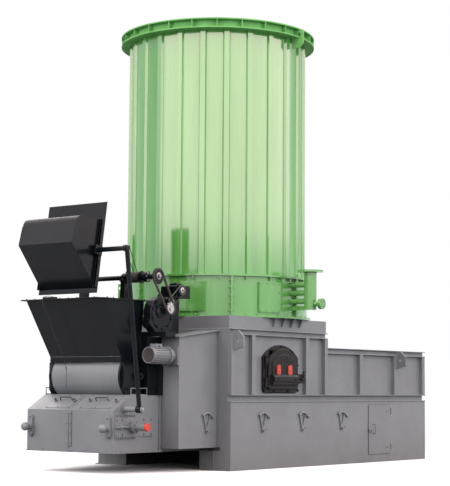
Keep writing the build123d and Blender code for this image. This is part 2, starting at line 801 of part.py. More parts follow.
# Fuel hopper: sloped front, upright back, straight collar and rim with a lip
with BuildPart() as hopper:
    for inset, mode in ((0, Mode.ADD), (hopper_sheet, Mode.SUBTRACT)):
        low_half = hopper_bottom_half - inset
        high_half = hopper_top_half - inset
        with BuildSketch(Plane.XY.offset(hopper_slope_bottom), mode=Mode.PRIVATE) as low_mouth:
            with Locations((0, (hopper_front_bottom + hopper_rear) / 2)):
                Rectangle(2 * low_half, hopper_rear - hopper_front_bottom - 2 * inset)
        with BuildSketch(Plane.XY.offset(hopper_top), mode=Mode.PRIVATE) as high_mouth:
            with Locations((0, (hopper_front_top + hopper_rear) / 2)):
                Rectangle(2 * high_half, hopper_rear - hopper_front_top - 2 * inset)
        loft([low_mouth.sketch, high_mouth.sketch], mode=mode)
        extrude(low_mouth.sketch, amount=-(hopper_slope_bottom - hopper_bottom), mode=mode)
    with BuildSketch(Plane.XY.offset(hopper_top)):
        with Locations((0, (hopper_front_top + hopper_rear) / 2)):
            Rectangle(2 * (hopper_top_half + hopper_lap), hopper_long + 2 * hopper_lap)
            Rectangle(2 * (hopper_top_half - hopper_sheet), hopper_long - 2 * hopper_sheet,
                      mode=Mode.SUBTRACT)
        with Locations((0, (lip_front + hopper_front_top) / 2)):
            Rectangle(2 * hopper_top_half, hopper_lip)
    extrude(amount=hopper_rim)
    block((-270, -100), (hopper_front_top - 50, hopper_front_top), (hopper_top + hopper_rim, hopper_top + 34))
save(hopper.part, "hopper")

# Closed feed throat between hopper and furnace, with an angle post at its front
with BuildPart() as feed_throat:
    block((-grate_half, grate_half), (hopper_rear, front_y), (grate_top + grate_deck, throat_top))
    post_y = (box_front - 75, box_front)
    for side in (1, -1):
        near = side * grate_half
        block(sorted((near, near + side * 12)), (hopper_rear, post_y[0]), (grate_top + grate_deck, grate_top + 18))
        block(sorted((near, near + side * 12)), (hopper_rear, post_y[0]), (grate_top + 75, grate_top + 83))
        block(sorted((near, near + side * 24)), post_y, (grate_top + grate_deck, drum_z + 110))
save(feed_throat.part, "feed_throat")

# Winch platform: folded sheet in front of the right side box
platform_sheet = 8
platform_x = (sprocket_x - 310, sprocket_x + 82)
with BuildPart() as hoist_platform:
    block(platform_x, (platform_front, platform_rear), (throat_top, platform_top))
    block((platform_x[0] + platform_sheet, platform_x[1] - platform_sheet),
          (platform_front + platform_sheet, platform_rear + platform_sheet),
          (throat_top - platform_sheet, platform_top - platform_sheet), mode=Mode.SUBTRACT)
save(hoist_platform.part, "hoist_platform")

# Winch: bearing stands, shaft with rope drum and chain wheel
stand_spans = ((stand_inner, stand_inner + stand_wide), (-stand_inner - stand_wide, -stand_inner))
stand_cap = 48
with BuildPart() as winch_stands:
    for x0, x1 in stand_spans:
        with BuildSketch(Plane.YZ.offset(x0)):
            with BuildLine():
                Polyline((winch_y - stand_cap, winch_z), (winch_y - stand_cap - 14, hopper_top + hopper_rim),
                         (winch_y + stand_cap - 18, hopper_top + hopper_rim), (winch_y + stand_cap, winch_z),
                         close=True)
            make_face()
            with Locations((winch_y, winch_z)):
                Circle(stand_cap)
                Circle(winch_radius + running, mode=Mode.SUBTRACT)
        extrude(amount=x1 - x0)
save(winch_stands.part, "winch_stands")


def pitch_radius(teeth):
    """Radius of the circle on which a chain wheel carries the rollers' centres."""
    return chain_pitch / (2 * sin(pi / teeth))


def chain_wheel(y, z, teeth):
    """Toothed wheel in the part being built: a roller seat cut between every two teeth."""
    with BuildSketch(Plane.YZ.offset(sprocket_x - sprocket_thick / 2)) as wheel_face:
        with Locations((y, z)):
            Circle(pitch_radius(teeth) + 7)
            with PolarLocations(pitch_radius(teeth), teeth):
                Circle(roller_radius, mode=Mode.SUBTRACT)
            with PolarLocations(pitch_radius(teeth) + 9, teeth):
                Circle(roller_radius + 1, mode=Mode.SUBTRACT)
    extrude(wheel_face.sketch, amount=sprocket_thick)


wheel_side = sprocket_x - sprocket_thick / 2
with BuildPart() as winch_shaft:
    discs(winch_y, winch_z, ((stand_spans[1][0] - 24, sprocket_x + 20, winch_radius),
                             (drum_left, drum_left + 12, rope_drum_flange),
                             (drum_left + 12, drum_right - 12, rope_drum_radius),
                             (drum_right - 12, drum_right, rope_drum_flange),
                             (drum_right + 8, drum_right + 50, 42),
                             (drum_right + 50, drum_right + 96, 54),
                             (wheel_side - 35, wheel_side, 38)))
    chain_wheel(winch_y, winch_z, big_teeth)
save(winch_shaft.part, "winch_shaft")

with BuildPart() as output_sprocket:
    discs(output_y, output_z, ((gear_x[1] + leaf_gap, sprocket_x + 18, output_radius),
                               (gear_x[1] + 30, wheel_side, 30),
                               (wheel_side, sprocket_x + 14, 28)))
    chain_wheel(output_y, output_z, small_teeth)
save(output_sprocket.part, "output_sprocket")


def tangent_spans(y0, z0, r0, y1, z1, r1):
    """Both outer tangents of two circles, each from its point on the first to the second."""
    heading = atan2(z1 - z0, y1 - y0)
    spread = acos((r0 - r1) / hypot(y1 - y0, z1 - z0))
    return [((y0 + r0 * cos(turn), z0 + r0 * sin(turn)), (y1 + r1 * cos(turn), z1 + r1 * sin(turn)))
            for turn in (heading + spread, heading - spread)]


def loop_band(x0, x1, y0, z0, r0, y1, z1, r1, thick):
    """Closed band round two wheels, from the given radii outwards, over a span of X."""
    heading = atan2(z1 - z0, y1 - y0)
    with BuildSketch(Plane.YZ.offset(x0)) as loop_face:
        for extra, mode in ((thick, Mode.ADD), (0, Mode.SUBTRACT)):
            (near_a, far_a), (near_b, far_b) = tangent_spans(y0, z0, r0 + extra, y1, z1, r1 + extra)
            back = (y0 - (r0 + extra) * cos(heading), z0 - (r0 + extra) * sin(heading))
            nose = (y1 + (r1 + extra) * cos(heading), z1 + (r1 + extra) * sin(heading))
            with BuildLine():
                Line(near_a, far_a)
                ThreePointArc(far_a, nose, far_b)
                Line(far_b, near_b)
                ThreePointArc(near_b, back, near_a)
            make_face(mode=mode)
    extrude(loop_face.sketch, amount=x1 - x0)


# Roller chain: two rows of link plates that straddle both wheels' teeth, rollers on the free runs
small_pitch = pitch_radius(small_teeth)
big_pitch = pitch_radius(big_teeth)
link_inner = sprocket_thick / 2 + link_gap
link_outer = link_inner + link_thick
free_reach = 7 + roller_radius + 2
with BuildPart() as hoist_chain:
    for x0 in (sprocket_x + link_inner, sprocket_x - link_outer):
        loop_band(x0, x0 + link_thick, output_y, output_z, small_pitch - link_high / 2,
                  winch_y, winch_z, big_pitch - link_high / 2, link_high)
    for near, far in tangent_spans(output_y, output_z, small_pitch, winch_y, winch_z, big_pitch):
        run = hypot(far[0] - near[0], far[1] - near[1])
        first = ((small_pitch + free_reach) ** 2 - small_pitch ** 2) ** 0.5
        last = run - ((big_pitch + free_reach) ** 2 - big_pitch ** 2) ** 0.5
        rollers = int((last - first) / chain_pitch) + 1
        with BuildSketch(Plane.YZ.offset(sprocket_x - link_outer)):
            for roller in range(rollers):
                share = (first + roller * chain_pitch) / run
                with Locations((near[0] + share * (far[0] - near[0]), near[1] + share * (far[1] - near[1]))):
                    Circle(roller_radius)
        extrude(amount=2 * link_outer)
save(hoist_chain.part, "hoist_chain")

# Worm gearbox: arched housing, raised joint ring, input boss and round front cap
gear_cover = (160, 146)
gear_foot = 105
gear_cap = 53
with BuildPart() as hoist_gearbox:
    with BuildSketch(Plane.YZ.offset(gear_x[0])):
        with BuildLine():
            Polyline((gear_y + gear_radius, gear_z), (gear_y + gear_radius, platform_top + 70),
                     (gear_y + gear_foot, platform_top), (gear_y - gear_foot, platform_top),
                     (gear_y - gear_radius, platform_top + 70), (gear_y - gear_radius, gear_z))
            ThreePointArc((gear_y - gear_radius, gear_z), (gear_y, gear_z + gear_radius),
                          (gear_y + gear_radius, gear_z))
        make_face()
    extrude(amount=gear_x[1] - gear_x[0])
    fillet(hoist_gearbox.faces().sort_by(Axis.X)[-1].edges().filter_by(GeomType.CIRCLE), 8)
    with BuildSketch(Plane.YZ.offset(gear_x[1])):
        with Locations((gear_y, gear_z)):
            Circle(gear_cover[0])
            Circle(gear_cover[1], mode=Mode.SUBTRACT)
    extrude(amount=5)
    discs(input_y, input_z, ((gear_x[0] + 20, gear_x[1], 50),))
    with Locations(Location(((gear_x[0] + gear_x[1]) / 2, gear_y - gear_radius - 7, gear_z - 100), (90, 0, 0))):
        Cylinder(gear_cap, 14)
save(hoist_gearbox.part, "hoist_gearbox")

stool_x = (motor_face - 215, motor_face + 1)
with BuildPart() as motor_stool:
    block(stool_x, (stool_front, stool_rear), (stool_top - stool_plate, stool_top))
    for x0 in (stool_x[0] + 6, stool_x[1] - 91):
        block((x0, x0 + stool_plate), (stool_front + 40, stool_front + 200), (throat_top, stool_top - stool_plate))
save(motor_stool.part, "motor_stool")

with BuildPart() as hoist_motor:
    block((motor_face - motor_wide, motor_face), (stool_front + 60, stool_rear), (stool_top, stool_top + motor_high))
    chamfer(hoist_motor.edges().filter_by(Axis.X).sort_by(Axis.Z)[-2:], 10)
save(hoist_motor.part, "hoist_motor")

pulley_rim = 7
for name, y, z, radius, face in (("input_pulley", input_y, input_z, input_pulley, gear_x[1]),
                                 ("motor_pulley", motor_y, motor_z, motor_pulley, motor_face)):
    with BuildPart() as pulley:
        groove = belt_half + leaf_gap
        discs(y, z, ((face + leaf_gap, belt_x + belt_half + 6, 12),
                     (belt_x - groove - 3, belt_x - groove, radius + pulley_rim),
                     (belt_x - groove, belt_x + groove, radius),
                     (belt_x + groove, belt_x + groove + 3, radius + pulley_rim)))
    save(pulley.part, name)

with BuildPart() as motor_belt:
    loop_band(belt_x - belt_half, belt_x + belt_half, input_y, input_z, input_pulley + leaf_gap,
              motor_y, motor_z, motor_pulley + leaf_gap, belt_thick)
save(motor_belt.part, "motor_belt")

# Grate motor, flanged to the side box's front: fan cover, finned body, flange and gear case
grate_motor_x = grate_half + 140
grate_motor_z = box_front_top - 195
grate_motor_radius = 82
fin_count = 20
fin_high = 10
gear_case = 95
with BuildPart() as grate_motor:
    for back, long, radius in ((350, 22, 84), (110, 240, grate_motor_radius), (88, 22, 98), (20, 68, 70)):
        with Locations(Location((grate_motor_x, box_front - back - long / 2, grate_motor_z), (90, 0, 0))):
            Cylinder(radius, long)
    with BuildSketch(Plane.XZ.offset(-box_front + 110)):
        with Locations((grate_motor_x, grate_motor_z)):
            with PolarLocations(grate_motor_radius + fin_high / 2 - 2, fin_count):
                Rectangle(fin_high, 5)
    extrude(amount=215)
    block((grate_motor_x - gear_case, grate_motor_x + gear_case), (box_front - 20, box_front),
          (grate_motor_z - gear_case, grate_motor_z + gear_case))
    block((grate_motor_x - 40, grate_motor_x + 40), (box_front - 300, box_front - 200),
          (grate_motor_z + grate_motor_radius - 8, grate_motor_z + grate_motor_radius + 34))
save(grate_motor.part, "grate_motor")

# Bucket arm: hub on the pivot stub, tube, cross tube
stub_end = arm_x + arm_hub_half + 12
with BuildPart() as pivot_stub:
    discs(pivot_y, pivot_z, ((grate_half, stub_end, pivot_radius),
                             (grate_half, arm_x - arm_hub_half - 5, pivot_boss),
                             (grate_half, grate_half + 16, pivot_boss + 14),
                             (arm_x + arm_hub_half + 5, stub_end, pivot_boss)))
save(pivot_stub.part, "pivot_stub")

arm_axis = Plane(origin=(arm_x, pivot_y, pivot_z), x_dir=(1, 0, 0),
                 z_dir=(0, arm_top_y - pivot_y, arm_top_z - pivot_z))
arm_length = hypot(arm_top_y - pivot_y, arm_top_z - pivot_z)
clamp_reach = 12
with BuildPart() as hoist_arm:
    with BuildSketch(arm_axis.offset(arm_hub - 8)):
        Circle(arm_tube)
    extrude(amount=arm_length - arm_hub + 8)
    discs(arm_top_y, arm_top_z, ((rim_half + clamp_reach, arm_x + arm_tube, arm_tube + 2),))
    discs(pivot_y, pivot_z, ((arm_x - arm_hub_half, arm_x + arm_hub_half, arm_hub),))
    with Locations(Location((arm_x, pivot_y, pivot_z), (0, 90, 0))):
        Cylinder(pivot_radius + running, 4 * arm_hub_half, mode=Mode.SUBTRACT)
save(hoist_arm.part, "hoist_arm")

# Bucket, drawn in the plane square to its rim: first axis forward, second up the rim
lean_cos = cos(radians(bucket_lean))
lean_sin = sin(radians(bucket_lean))
bucket_foot = (0, bucket_foot_y, bucket_foot_z)
bucket_plane = Plane(origin=bucket_foot, x_dir=(0, -lean_cos, lean_sin), z_dir=(-1, 0, 0))
with BuildPart() as bucket_shell:
    with BuildSketch(bucket_plane.offset(-bucket_half)):
        with BuildLine():
            Polyline((0, bucket_bottom_s), (bucket_nose_n, bucket_nose_s),
                     (bucket_nose_n - 38, bucket_head_s - 38), (0, bucket_head_s), close=True)
        make_face()
    extrude(amount=2 * bucket_half)
    brow = bucket_shell.edges().filter_by(Axis.X).sort_by(Axis.Z)[-2:].sort_by(Axis.Y)[0]
    fillet(brow, 90)
    mouth = bucket_shell.faces().filter_by(Plane(bucket_foot, z_dir=bucket_plane.x_dir))[0]
    offset(amount=-bucket_wall, openings=mouth)
save(bucket_shell.part, "bucket_shell")

rim_plane = Plane(origin=bucket_foot, x_dir=(-1, 0, 0), z_dir=(0, lean_cos, -lean_sin))
bucket_middle_s = (bucket_bottom_s + bucket_head_s) / 2
bucket_tall = bucket_head_s - bucket_bottom_s
clamp_s = arm_top_z - bucket_foot_z - 4
with BuildPart() as bucket_rim:
    with BuildSketch(rim_plane):
        with Locations((0, (rim_foot_s + rim_head_s) / 2)):
            Rectangle(2 * rim_half, rim_head_s - rim_foot_s)
        with Locations((0, bucket_middle_s)):
            Rectangle(2 * (bucket_half - bucket_wall), bucket_tall - 2 * bucket_wall, mode=Mode.SUBTRACT)
    extrude(amount=rim_plate)
    with BuildSketch(rim_plane):
        for side in (1, -1):
            with Locations((side * (bucket_half + 8), bucket_middle_s), (side * (rim_half - 3), bucket_middle_s)):
                Rectangle(rim_plate, bucket_tall)
    extrude(amount=-34)
    with BuildSketch(rim_plane):
        with Locations((7 - rim_half, clamp_s)):
            Rectangle(38, 96)
    extrude(amount=-100)
save(bucket_rim.part, "bucket_rim")

# Coil drum: base ring with stiffeners, bolted seams, cover plates and lugs
base_stiffeners = 23
base_stiffener_phase = -2.5
stiffener_thick = 8
stiffener_high = 40
seam_angles = (-42.5, -104, 4.5, 137.5, 76, -175.5)
seam_thick = 24
plate_angles = (-65.5, -18)
plate_wide = 290
plate_high = 330
plate_deep = 30
plate_middle_z = ring_bottom + 224
drum_lug_angles = (-135, 45)
top_lug_angles = (3, 183)
with BuildPart() as base_ring:
    with BuildSketch(Plane.XZ):
        with BuildLine():
            Polyline((clad_inner, ring_bottom), (ring_flange_radius, ring_bottom),
                     (ring_flange_radius, ring_bottom + ring_flange), (ring_radius, ring_bottom + ring_flange),
                     (ring_radius, clad_bottom - ring_flange), (ring_flange_radius, clad_bottom - ring_flange),
                     (ring_flange_radius, clad_bottom), (clad_inner, clad_bottom), close=True)
        make_face()
    revolve(axis=Axis.Z)
    with BuildSketch(Plane.XY.offset(clad_bottom - ring_flange - stiffener_high)):
        with PolarLocations(ring_radius + ring_lip / 2 - 6, base_stiffeners, start_angle=base_stiffener_phase):
            Rectangle(ring_lip, stiffener_thick)
    extrude(amount=stiffener_high)
    with BuildSketch(Plane.XY.offset(ring_bottom + ring_flange)):
        for angle in seam_angles:
            with PolarLocations(ring_radius + ring_lip / 2 - 6, 1, start_angle=angle):
                Rectangle(ring_lip, seam_thick)
    extrude(amount=ring_high - 2 * ring_flange)
    with BuildSketch(Plane.XY.offset(plate_middle_z - plate_high / 2)):
        for angle in plate_angles:
            with PolarLocations(ring_radius + 4, 1, start_angle=angle):
                Rectangle(plate_deep, plate_wide)
    extrude(amount=plate_high)
    for angle in drum_lug_angles:
        with BuildSketch(radial_plane(angle).offset(-lug_thick / 2)):
            with Locations((ring_radius + 36, plate_middle_z + 86)):
                Rectangle(84, 200)
            with Locations((ring_radius + 48, plate_middle_z + 136)):
                Circle(lug_hole, mode=Mode.SUBTRACT)
        extrude(amount=lug_thick)
save(base_ring.part, "base_ring")

with BuildPart() as drum_cladding:
    with BuildSketch(mode=Mode.PRIVATE) as rib_section:
        with BuildLine():
            Polyline((-30, -rib_root / 2), (0, -rib_root / 2), (rib_proud, -rib_width / 2),
                     (rib_proud, rib_width / 2), (0, rib_root / 2), (-30, rib_root / 2), close=True)
        make_face()
    with BuildSketch(Plane.XY.offset(clad_bottom)):
        Circle(clad_radius)
        with PolarLocations(clad_radius, rib_count, start_angle=rib_phase):
            add(rib_section.sketch)
        Circle(clad_inner, mode=Mode.SUBTRACT)
    extrude(amount=clad_high)
save(drum_cladding.part, "drum_cladding")

top_stiffeners = 25
top_stiffener_phase = 5.4
cover_level = clad_top + top_ring_high - cover_thick
lug_inner = clad_radius + rib_proud + 10
lug_outer = top_ring_radius + 56
with BuildPart() as top_ring:
    with BuildSketch(Plane.XZ):
        with BuildLine():
            Polyline((clad_inner, clad_top), (top_ring_radius, clad_top),
                     (top_ring_radius, clad_top + top_flange), (top_web_radius, clad_top + top_flange),
                     (top_web_radius, clad_top + top_ring_high - top_flange),
                     (top_ring_radius, clad_top + top_ring_high - top_flange),
                     (top_ring_radius, clad_top + top_ring_high), (clad_inner, clad_top + top_ring_high),
                     close=True)
        make_face()
    revolve(axis=Axis.Z)
    with BuildSketch(Plane.XY.offset(clad_top + top_flange)):
        with PolarLocations((top_web_radius + top_ring_radius) / 2 - 4, top_stiffeners,
                            start_angle=top_stiffener_phase):
            Rectangle(top_ring_radius - top_web_radius, stiffener_thick)
    extrude(amount=top_ring_high - 2 * top_flange)
    for angle in top_lug_angles:
        with BuildSketch(radial_plane(angle).offset(-lug_thick / 2)):
            with BuildLine():
                Polyline((top_web_radius - 5, clad_top + 86), (lug_outer, clad_top + 86),
                         (lug_outer, clad_top - 70), (lug_outer - 46, clad_top - 115),
                         (lug_inner, clad_top - 115), (lug_inner, clad_top), (top_web_radius - 5, clad_top),
                         close=True)
            make_face()
            with Locations((lug_outer - 52, clad_top + 34)):
                Circle(lug_hole, mode=Mode.SUBTRACT)
        extrude(amount=lug_thick)
save(top_ring.part, "top_ring")

with BuildPart() as top_cover:
    with BuildSketch(Plane.XY.offset(cover_level)):
        Circle(clad_inner)
        Circle(collar_radius, mode=Mode.SUBTRACT)
    extrude(amount=cover_thick)
save(top_cover.part, "top_cover")

with BuildPart() as flue_collar:
    with BuildSketch(Plane.XY.offset(cover_level)):
        Circle(collar_radius)
    extrude(amount=collar_high)
    with BuildSketch(Plane.XY.offset(cover_level + collar_high - collar_flange)):
        Circle(collar_radius + collar_lap)
        with PolarLocations(collar_radius + collar_lap - 21, collar_bolts, start_angle=15):
            Circle(collar_bolt_hole, mode=Mode.SUBTRACT)
    extrude(amount=collar_flange)
    with BuildSketch(Plane.XY.offset(cover_level)):
        Circle(collar_radius - collar_wall)
    extrude(amount=collar_high, mode=Mode.SUBTRACT)
save(flue_collar.part, "flue_collar")

# Oil header with its flange and blanked drain, coil tubes and foot bracket
drain_radius = 26
drain_flange = 60
with BuildPart() as oil_header:
    with BuildSketch(Plane.XY.offset(header_bottom)):
        with Locations((header_x, 0)):
            Circle(header_radius)
    extrude(amount=header_flange_top - header_bottom)
    with BuildSketch(Plane.XY.offset(header_flange_top - header_flange_thick)):
        with Locations((header_x, 0)):
            Circle(header_flange_radius)
            with PolarLocations(header_pcd / 2, header_bolts, start_angle=180 / header_bolts):
                Circle(header_bolt_hole, mode=Mode.SUBTRACT)
    extrude(amount=header_flange_thick)
    drain_start = header_x + header_radius
    discs(0, drain_z, ((header_x, drain_start + 60, drain_radius), (drain_start + 60, drain_start + 76, drain_flange),
                       (drain_start + 76, drain_start + 79, drain_flange - 8),
                       (drain_start + 79, drain_start + 95, drain_flange)))
    with BuildSketch(Plane.XY.offset(header_bottom + 20)):
        with Locations((header_x, 0)):
            Circle(header_radius - header_wall)
    extrude(amount=header_flange_top - header_bottom - 20, mode=Mode.SUBTRACT)
save(oil_header.part, "oil_header")

bracket_half = 6
with BuildPart() as coil_tubes:
    for z in coil_tube_heights:
        discs(0, z, ((ring_radius - 40, header_x, coil_tube_radius),))
    block((ring_radius - 40, header_x), (-bracket_half, bracket_half), (header_bottom, header_bottom + 45))
    with BuildSketch(Plane.XY.offset(ring_bottom)):
        Circle(ring_radius)
        with Locations((header_x, 0)):
            Circle(header_radius)
    extrude(amount=ring_high, mode=Mode.SUBTRACT)
save(coil_tubes.part, "coil_tubes")
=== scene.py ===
import bpy
import bmesh
import json
import math
import random
from mathutils import Matrix, Vector


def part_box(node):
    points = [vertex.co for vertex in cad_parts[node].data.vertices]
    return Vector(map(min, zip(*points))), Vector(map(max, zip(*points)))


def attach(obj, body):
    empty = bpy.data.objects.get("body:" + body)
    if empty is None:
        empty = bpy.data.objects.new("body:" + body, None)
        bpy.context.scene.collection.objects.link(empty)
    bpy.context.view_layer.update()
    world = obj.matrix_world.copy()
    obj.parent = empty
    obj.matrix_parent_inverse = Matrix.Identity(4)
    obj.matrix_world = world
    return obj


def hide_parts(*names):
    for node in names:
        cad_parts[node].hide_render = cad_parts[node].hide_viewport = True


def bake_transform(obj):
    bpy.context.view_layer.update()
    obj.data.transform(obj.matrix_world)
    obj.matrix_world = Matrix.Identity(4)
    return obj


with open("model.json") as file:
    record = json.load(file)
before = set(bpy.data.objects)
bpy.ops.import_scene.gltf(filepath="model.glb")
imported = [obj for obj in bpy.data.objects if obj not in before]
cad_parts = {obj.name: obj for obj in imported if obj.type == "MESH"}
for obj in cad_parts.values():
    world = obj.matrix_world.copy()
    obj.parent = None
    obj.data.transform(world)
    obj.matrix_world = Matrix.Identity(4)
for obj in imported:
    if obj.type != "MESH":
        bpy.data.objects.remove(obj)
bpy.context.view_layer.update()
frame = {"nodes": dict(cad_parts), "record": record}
random.seed(7)

FORWARD = (0, -1, 0)
RIGHT = (1, 0, 0)
UP = (0, 0, 1)


# Points and directions
def turn_to(direction):
    """Rotation that takes +Z to a direction."""
    return Vector(direction).to_track_quat("Z", "Y").to_matrix().to_4x4()


def even_turns(count, phase=0.0):
    """Even angles round a full turn, shifted by a share of one step."""
    return [2 * math.pi * (k + phase) / count for k in range(count)]


def round_x(radius, turn, x=0.0):
    """Point on a circle round the X axis."""
    return Vector((x, radius * math.cos(turn), radius * math.sin(turn)))


def round_y(radius, turn, y=0.0):
    """Point on a circle round the Y axis."""
    return Vector((radius * math.cos(turn), y, radius * math.sin(turn)))


def polar(radius, degrees, z):
    """Point round the drum's axis."""
    turn = math.radians(degrees)
    return Vector((radius * math.cos(turn), radius * math.sin(turn), z))


def outward(degrees):
    """Level direction away from the drum's axis."""
    return polar(1.0, degrees, 0.0)


def raised(z):
    """Step straight up."""
    return Vector((0, 0, z))


def sideways(x):
    """Step to the right."""
    return Vector((x, 0, 0))


# Mesh helpers
def slab(bm, low, high, bevel=0.002):
    """Box between two corners with small rounded edges."""
    low, high = Vector(low), Vector(high)
    made = bmesh.ops.create_cube(bm, size=1.0)
    size = high - low
    middle = (high + low) / 2
    for v in made["verts"]:
        v.co = Vector((v.co.x * size.x, v.co.y * size.y, v.co.z * size.z)) + middle
    if bevel:
        edges = list({e for v in made["verts"] for e in v.link_edges})
        bmesh.ops.bevel(bm, geom=edges, offset=bevel, segments=2, profile=0.5, affect="EDGES")


def side_slab(bm, side, distances, low, high, bevel):
    """Slab between two distances from the middle plane, with (y, z) corners."""
    near, far = sorted(side * distance for distance in distances)
    slab(bm, (near, *low), (far, *high), bevel)


def rod(bm, start, end, radius, sides=24, bevel=0.0):
    """Round bar between two points."""
    start, end = Vector(start), Vector(end)
    where = Matrix.Translation((start + end) / 2) @ turn_to(end - start)
    made = bmesh.ops.create_cone(bm, cap_ends=True, segments=sides, radius1=radius, radius2=radius,
                                 depth=(end - start).length, matrix=where)
    if bevel:
        rings = [e for v in made["verts"] for e in v.link_edges
                 if any(len(f.verts) > 4 for f in e.link_faces)]
        bmesh.ops.bevel(bm, geom=list(set(rings)), offset=bevel, segments=2, profile=0.5,
                        affect="EDGES")


def ball(bm, at, radius, squash=1.0, along=UP):
    """Round knob, flattened along one direction."""
    where = Matrix.Translation(at) @ turn_to(along) @ Matrix.Diagonal((1, 1, squash, 1))
    bmesh.ops.create_uvsphere(bm, u_segments=20, v_segments=12, radius=radius, matrix=where)


def bolt(bm, at, out, across=0.024, washer=True):
    """Hexagon head with a washer, sitting on a surface and turned by chance."""
    at, out = Vector(at), Vector(out).normalized()
    washer_thick = 0.12
    if washer:
        rod(bm, at, at + out * across * washer_thick, across * 0.8, sides=16)
    spin = turn_to(out) @ Matrix.Rotation(random.uniform(0, 1), 4, "Z")
    lift = across * (washer_thick if washer else 0.0)
    where = Matrix.Translation(at + out * (lift + across * 0.3)) @ spin
    bmesh.ops.create_cone(bm, cap_ends=True, segments=6, radius1=across * 0.56,
                          radius2=across * 0.5, depth=across * 0.6, matrix=where)


def bridge(bm, rings, closed=False):
    """Skin over rings of vertices, with both ends filled unless it closes on itself."""
    sides = len(rings[0])
    for i in range(len(rings) if closed else len(rings) - 1):
        ring, after = rings[i], rings[(i + 1) % len(rings)]
        for k in range(sides):
            bm.faces.new((ring[k], ring[(k + 1) % sides], after[(k + 1) % sides], after[k]))
    if not closed:
        bm.faces.new(list(reversed(rings[0])))
        bm.faces.new(rings[-1])


def sweep(bm, points, radius, sides=10, closed=False):
    """Tube of even or varying radius along points."""
    points = [Vector(p) for p in points]
    count = len(points)
    radii = radius if isinstance(radius, (list, tuple)) else [radius] * count
    rings = []
    normal = None
    for i, p in enumerate(points):
        ahead = points[(i + 1) % count] if closed or i < count - 1 else points[i]
        behind = points[i - 1] if closed or i > 0 else points[i]
        tangent = (ahead - behind).normalized()
        if normal is None:
            normal = tangent.orthogonal().normalized()
        normal = (normal - tangent * normal.dot(tangent)).normalized()
        side = tangent.cross(normal)
        rings.append([bm.verts.new(p + (normal * math.cos(a) + side * math.sin(a)) * radii[i])
                      for a in even_turns(sides)])
    bridge(bm, rings, closed)


def lathe(bm, profile, origin, axis, sides=48):
    """Revolves (distance along the axis, radius) points round an axis."""
    where = Matrix.Translation(origin) @ turn_to(axis)
    bridge(bm, [[bm.verts.new(where @ Vector((radius * math.cos(a), radius * math.sin(a), along)))
                 for a in even_turns(sides)] for along, radius in profile])


def rippled(radius, count, least, ripple):
    """Radii of a weld bead: every second one is thicker, and all vary a little."""
    return [radius * (least + ripple * (i % 2) + random.uniform(-0.06, 0.06)) for i in range(count)]


def weld(bm, start, end, radius=0.004):
    """Straight fillet weld bead with its ripples."""
    start, end = Vector(start), Vector(end)
    steps = max(4, int((end - start).length / (radius * 2.2)))
    points = [start.lerp(end, i / steps) for i in range(steps + 1)]
    sweep(bm, points, rippled(radius, len(points), 0.85, 0.22), sides=6)


def drum_bead(bm, radius, z, size):
    """Rippled bead all round the drum."""
    steps = 420
    points = [polar(radius, 360 * i / steps, z) for i in range(steps + 1)]
    sweep(bm, points, rippled(size, len(points), 0.8, 0.3), sides=5)


def piece(bm, name, slot, body="boiler", sharp=38):
    """Turns gathered mesh into a named piece that rides on a body, or on none yet."""
    mesh = bpy.data.meshes.new(name)
    bmesh.ops.recalc_face_normals(bm, faces=bm.faces)
    bm.to_mesh(mesh)
    bm.free()
    mesh.shade_smooth()
    mesh.set_sharp_from_angle(angle=math.radians(sharp))
    mesh.materials.append(piece_looks[slot])
    made = bpy.data.objects.new(name, mesh)
    bpy.context.scene.collection.objects.link(made)
    if body:
        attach(made, body)
    return made


# Shader helpers
def node(tree, kind, **values):
    """Adds a shader node and sets its inputs by name."""
    made = tree.nodes.new(kind)
    for key, value in values.items():
        made.inputs[key.replace("_", " ")].default_value = value
    return made


def maths(tree, operation, first, second):
    """Joins two values, or a value and a number."""
    made = tree.nodes.new("ShaderNodeMath")
    made.operation = operation
    for socket, source in zip(made.inputs, (first, second)):
        if isinstance(source, (int, float)):
            socket.default_value = source
        else:
            tree.links.new(source, socket)
    return made.outputs["Value"]


def ranged(tree, source, kind="LINEAR", **values):
    """Moves a value from one range to another."""
    made = node(tree, "ShaderNodeMapRange", **values)
    made.interpolation_type = kind
    tree.links.new(source, made.inputs["Value"])
    return made.outputs["Result"]


def mixed(tree, factor, first, second):
    """Blend of two colours, each three numbers or a socket."""
    made = tree.nodes.new("ShaderNodeMix")
    made.data_type = "RGBA"
    tree.links.new(factor, made.inputs["Factor"])
    for key, source in (("A", first), ("B", second)):
        if isinstance(source, tuple):
            made.inputs[key].default_value = (*source, 1)
        else:
            tree.links.new(source, made.inputs[key])
    return made.outputs["Result"]


def mixed_shader(tree, factor, first, second):
    """Blend of two shaders."""
    made = tree.nodes.new("ShaderNodeMixShader")
    for socket, source in zip(made.inputs, (factor, first, second)):
        tree.links.new(source, socket)
    return made.outputs["Shader"]


def placed(tree, place, stretch):
    """Coordinates stretched along their axes."""
    made = node(tree, "ShaderNodeMapping", Scale=stretch)
    tree.links.new(place, made.inputs["Vector"])
    return made.outputs["Vector"]


def noise(tree, place, **values):
    """Noise value at a place."""
    made = node(tree, "ShaderNodeTexNoise", **values)
    tree.links.new(place, made.inputs["Vector"])
    return made.outputs["Fac"]


def relief(tree, height, strength, distance, under=None):
    """Surface direction from a height, over another relief where one is given."""
    made = node(tree, "ShaderNodeBump", Strength=strength, Distance=distance)
    tree.links.new(height, made.inputs["Height"])
    if under:
        tree.links.new(under, made.inputs["Normal"])
    return made.outputs["Normal"]


def rays(tree, kind):
    """One for rays of a kind."""
    return tree.nodes.new("ShaderNodeLightPath").outputs[kind]


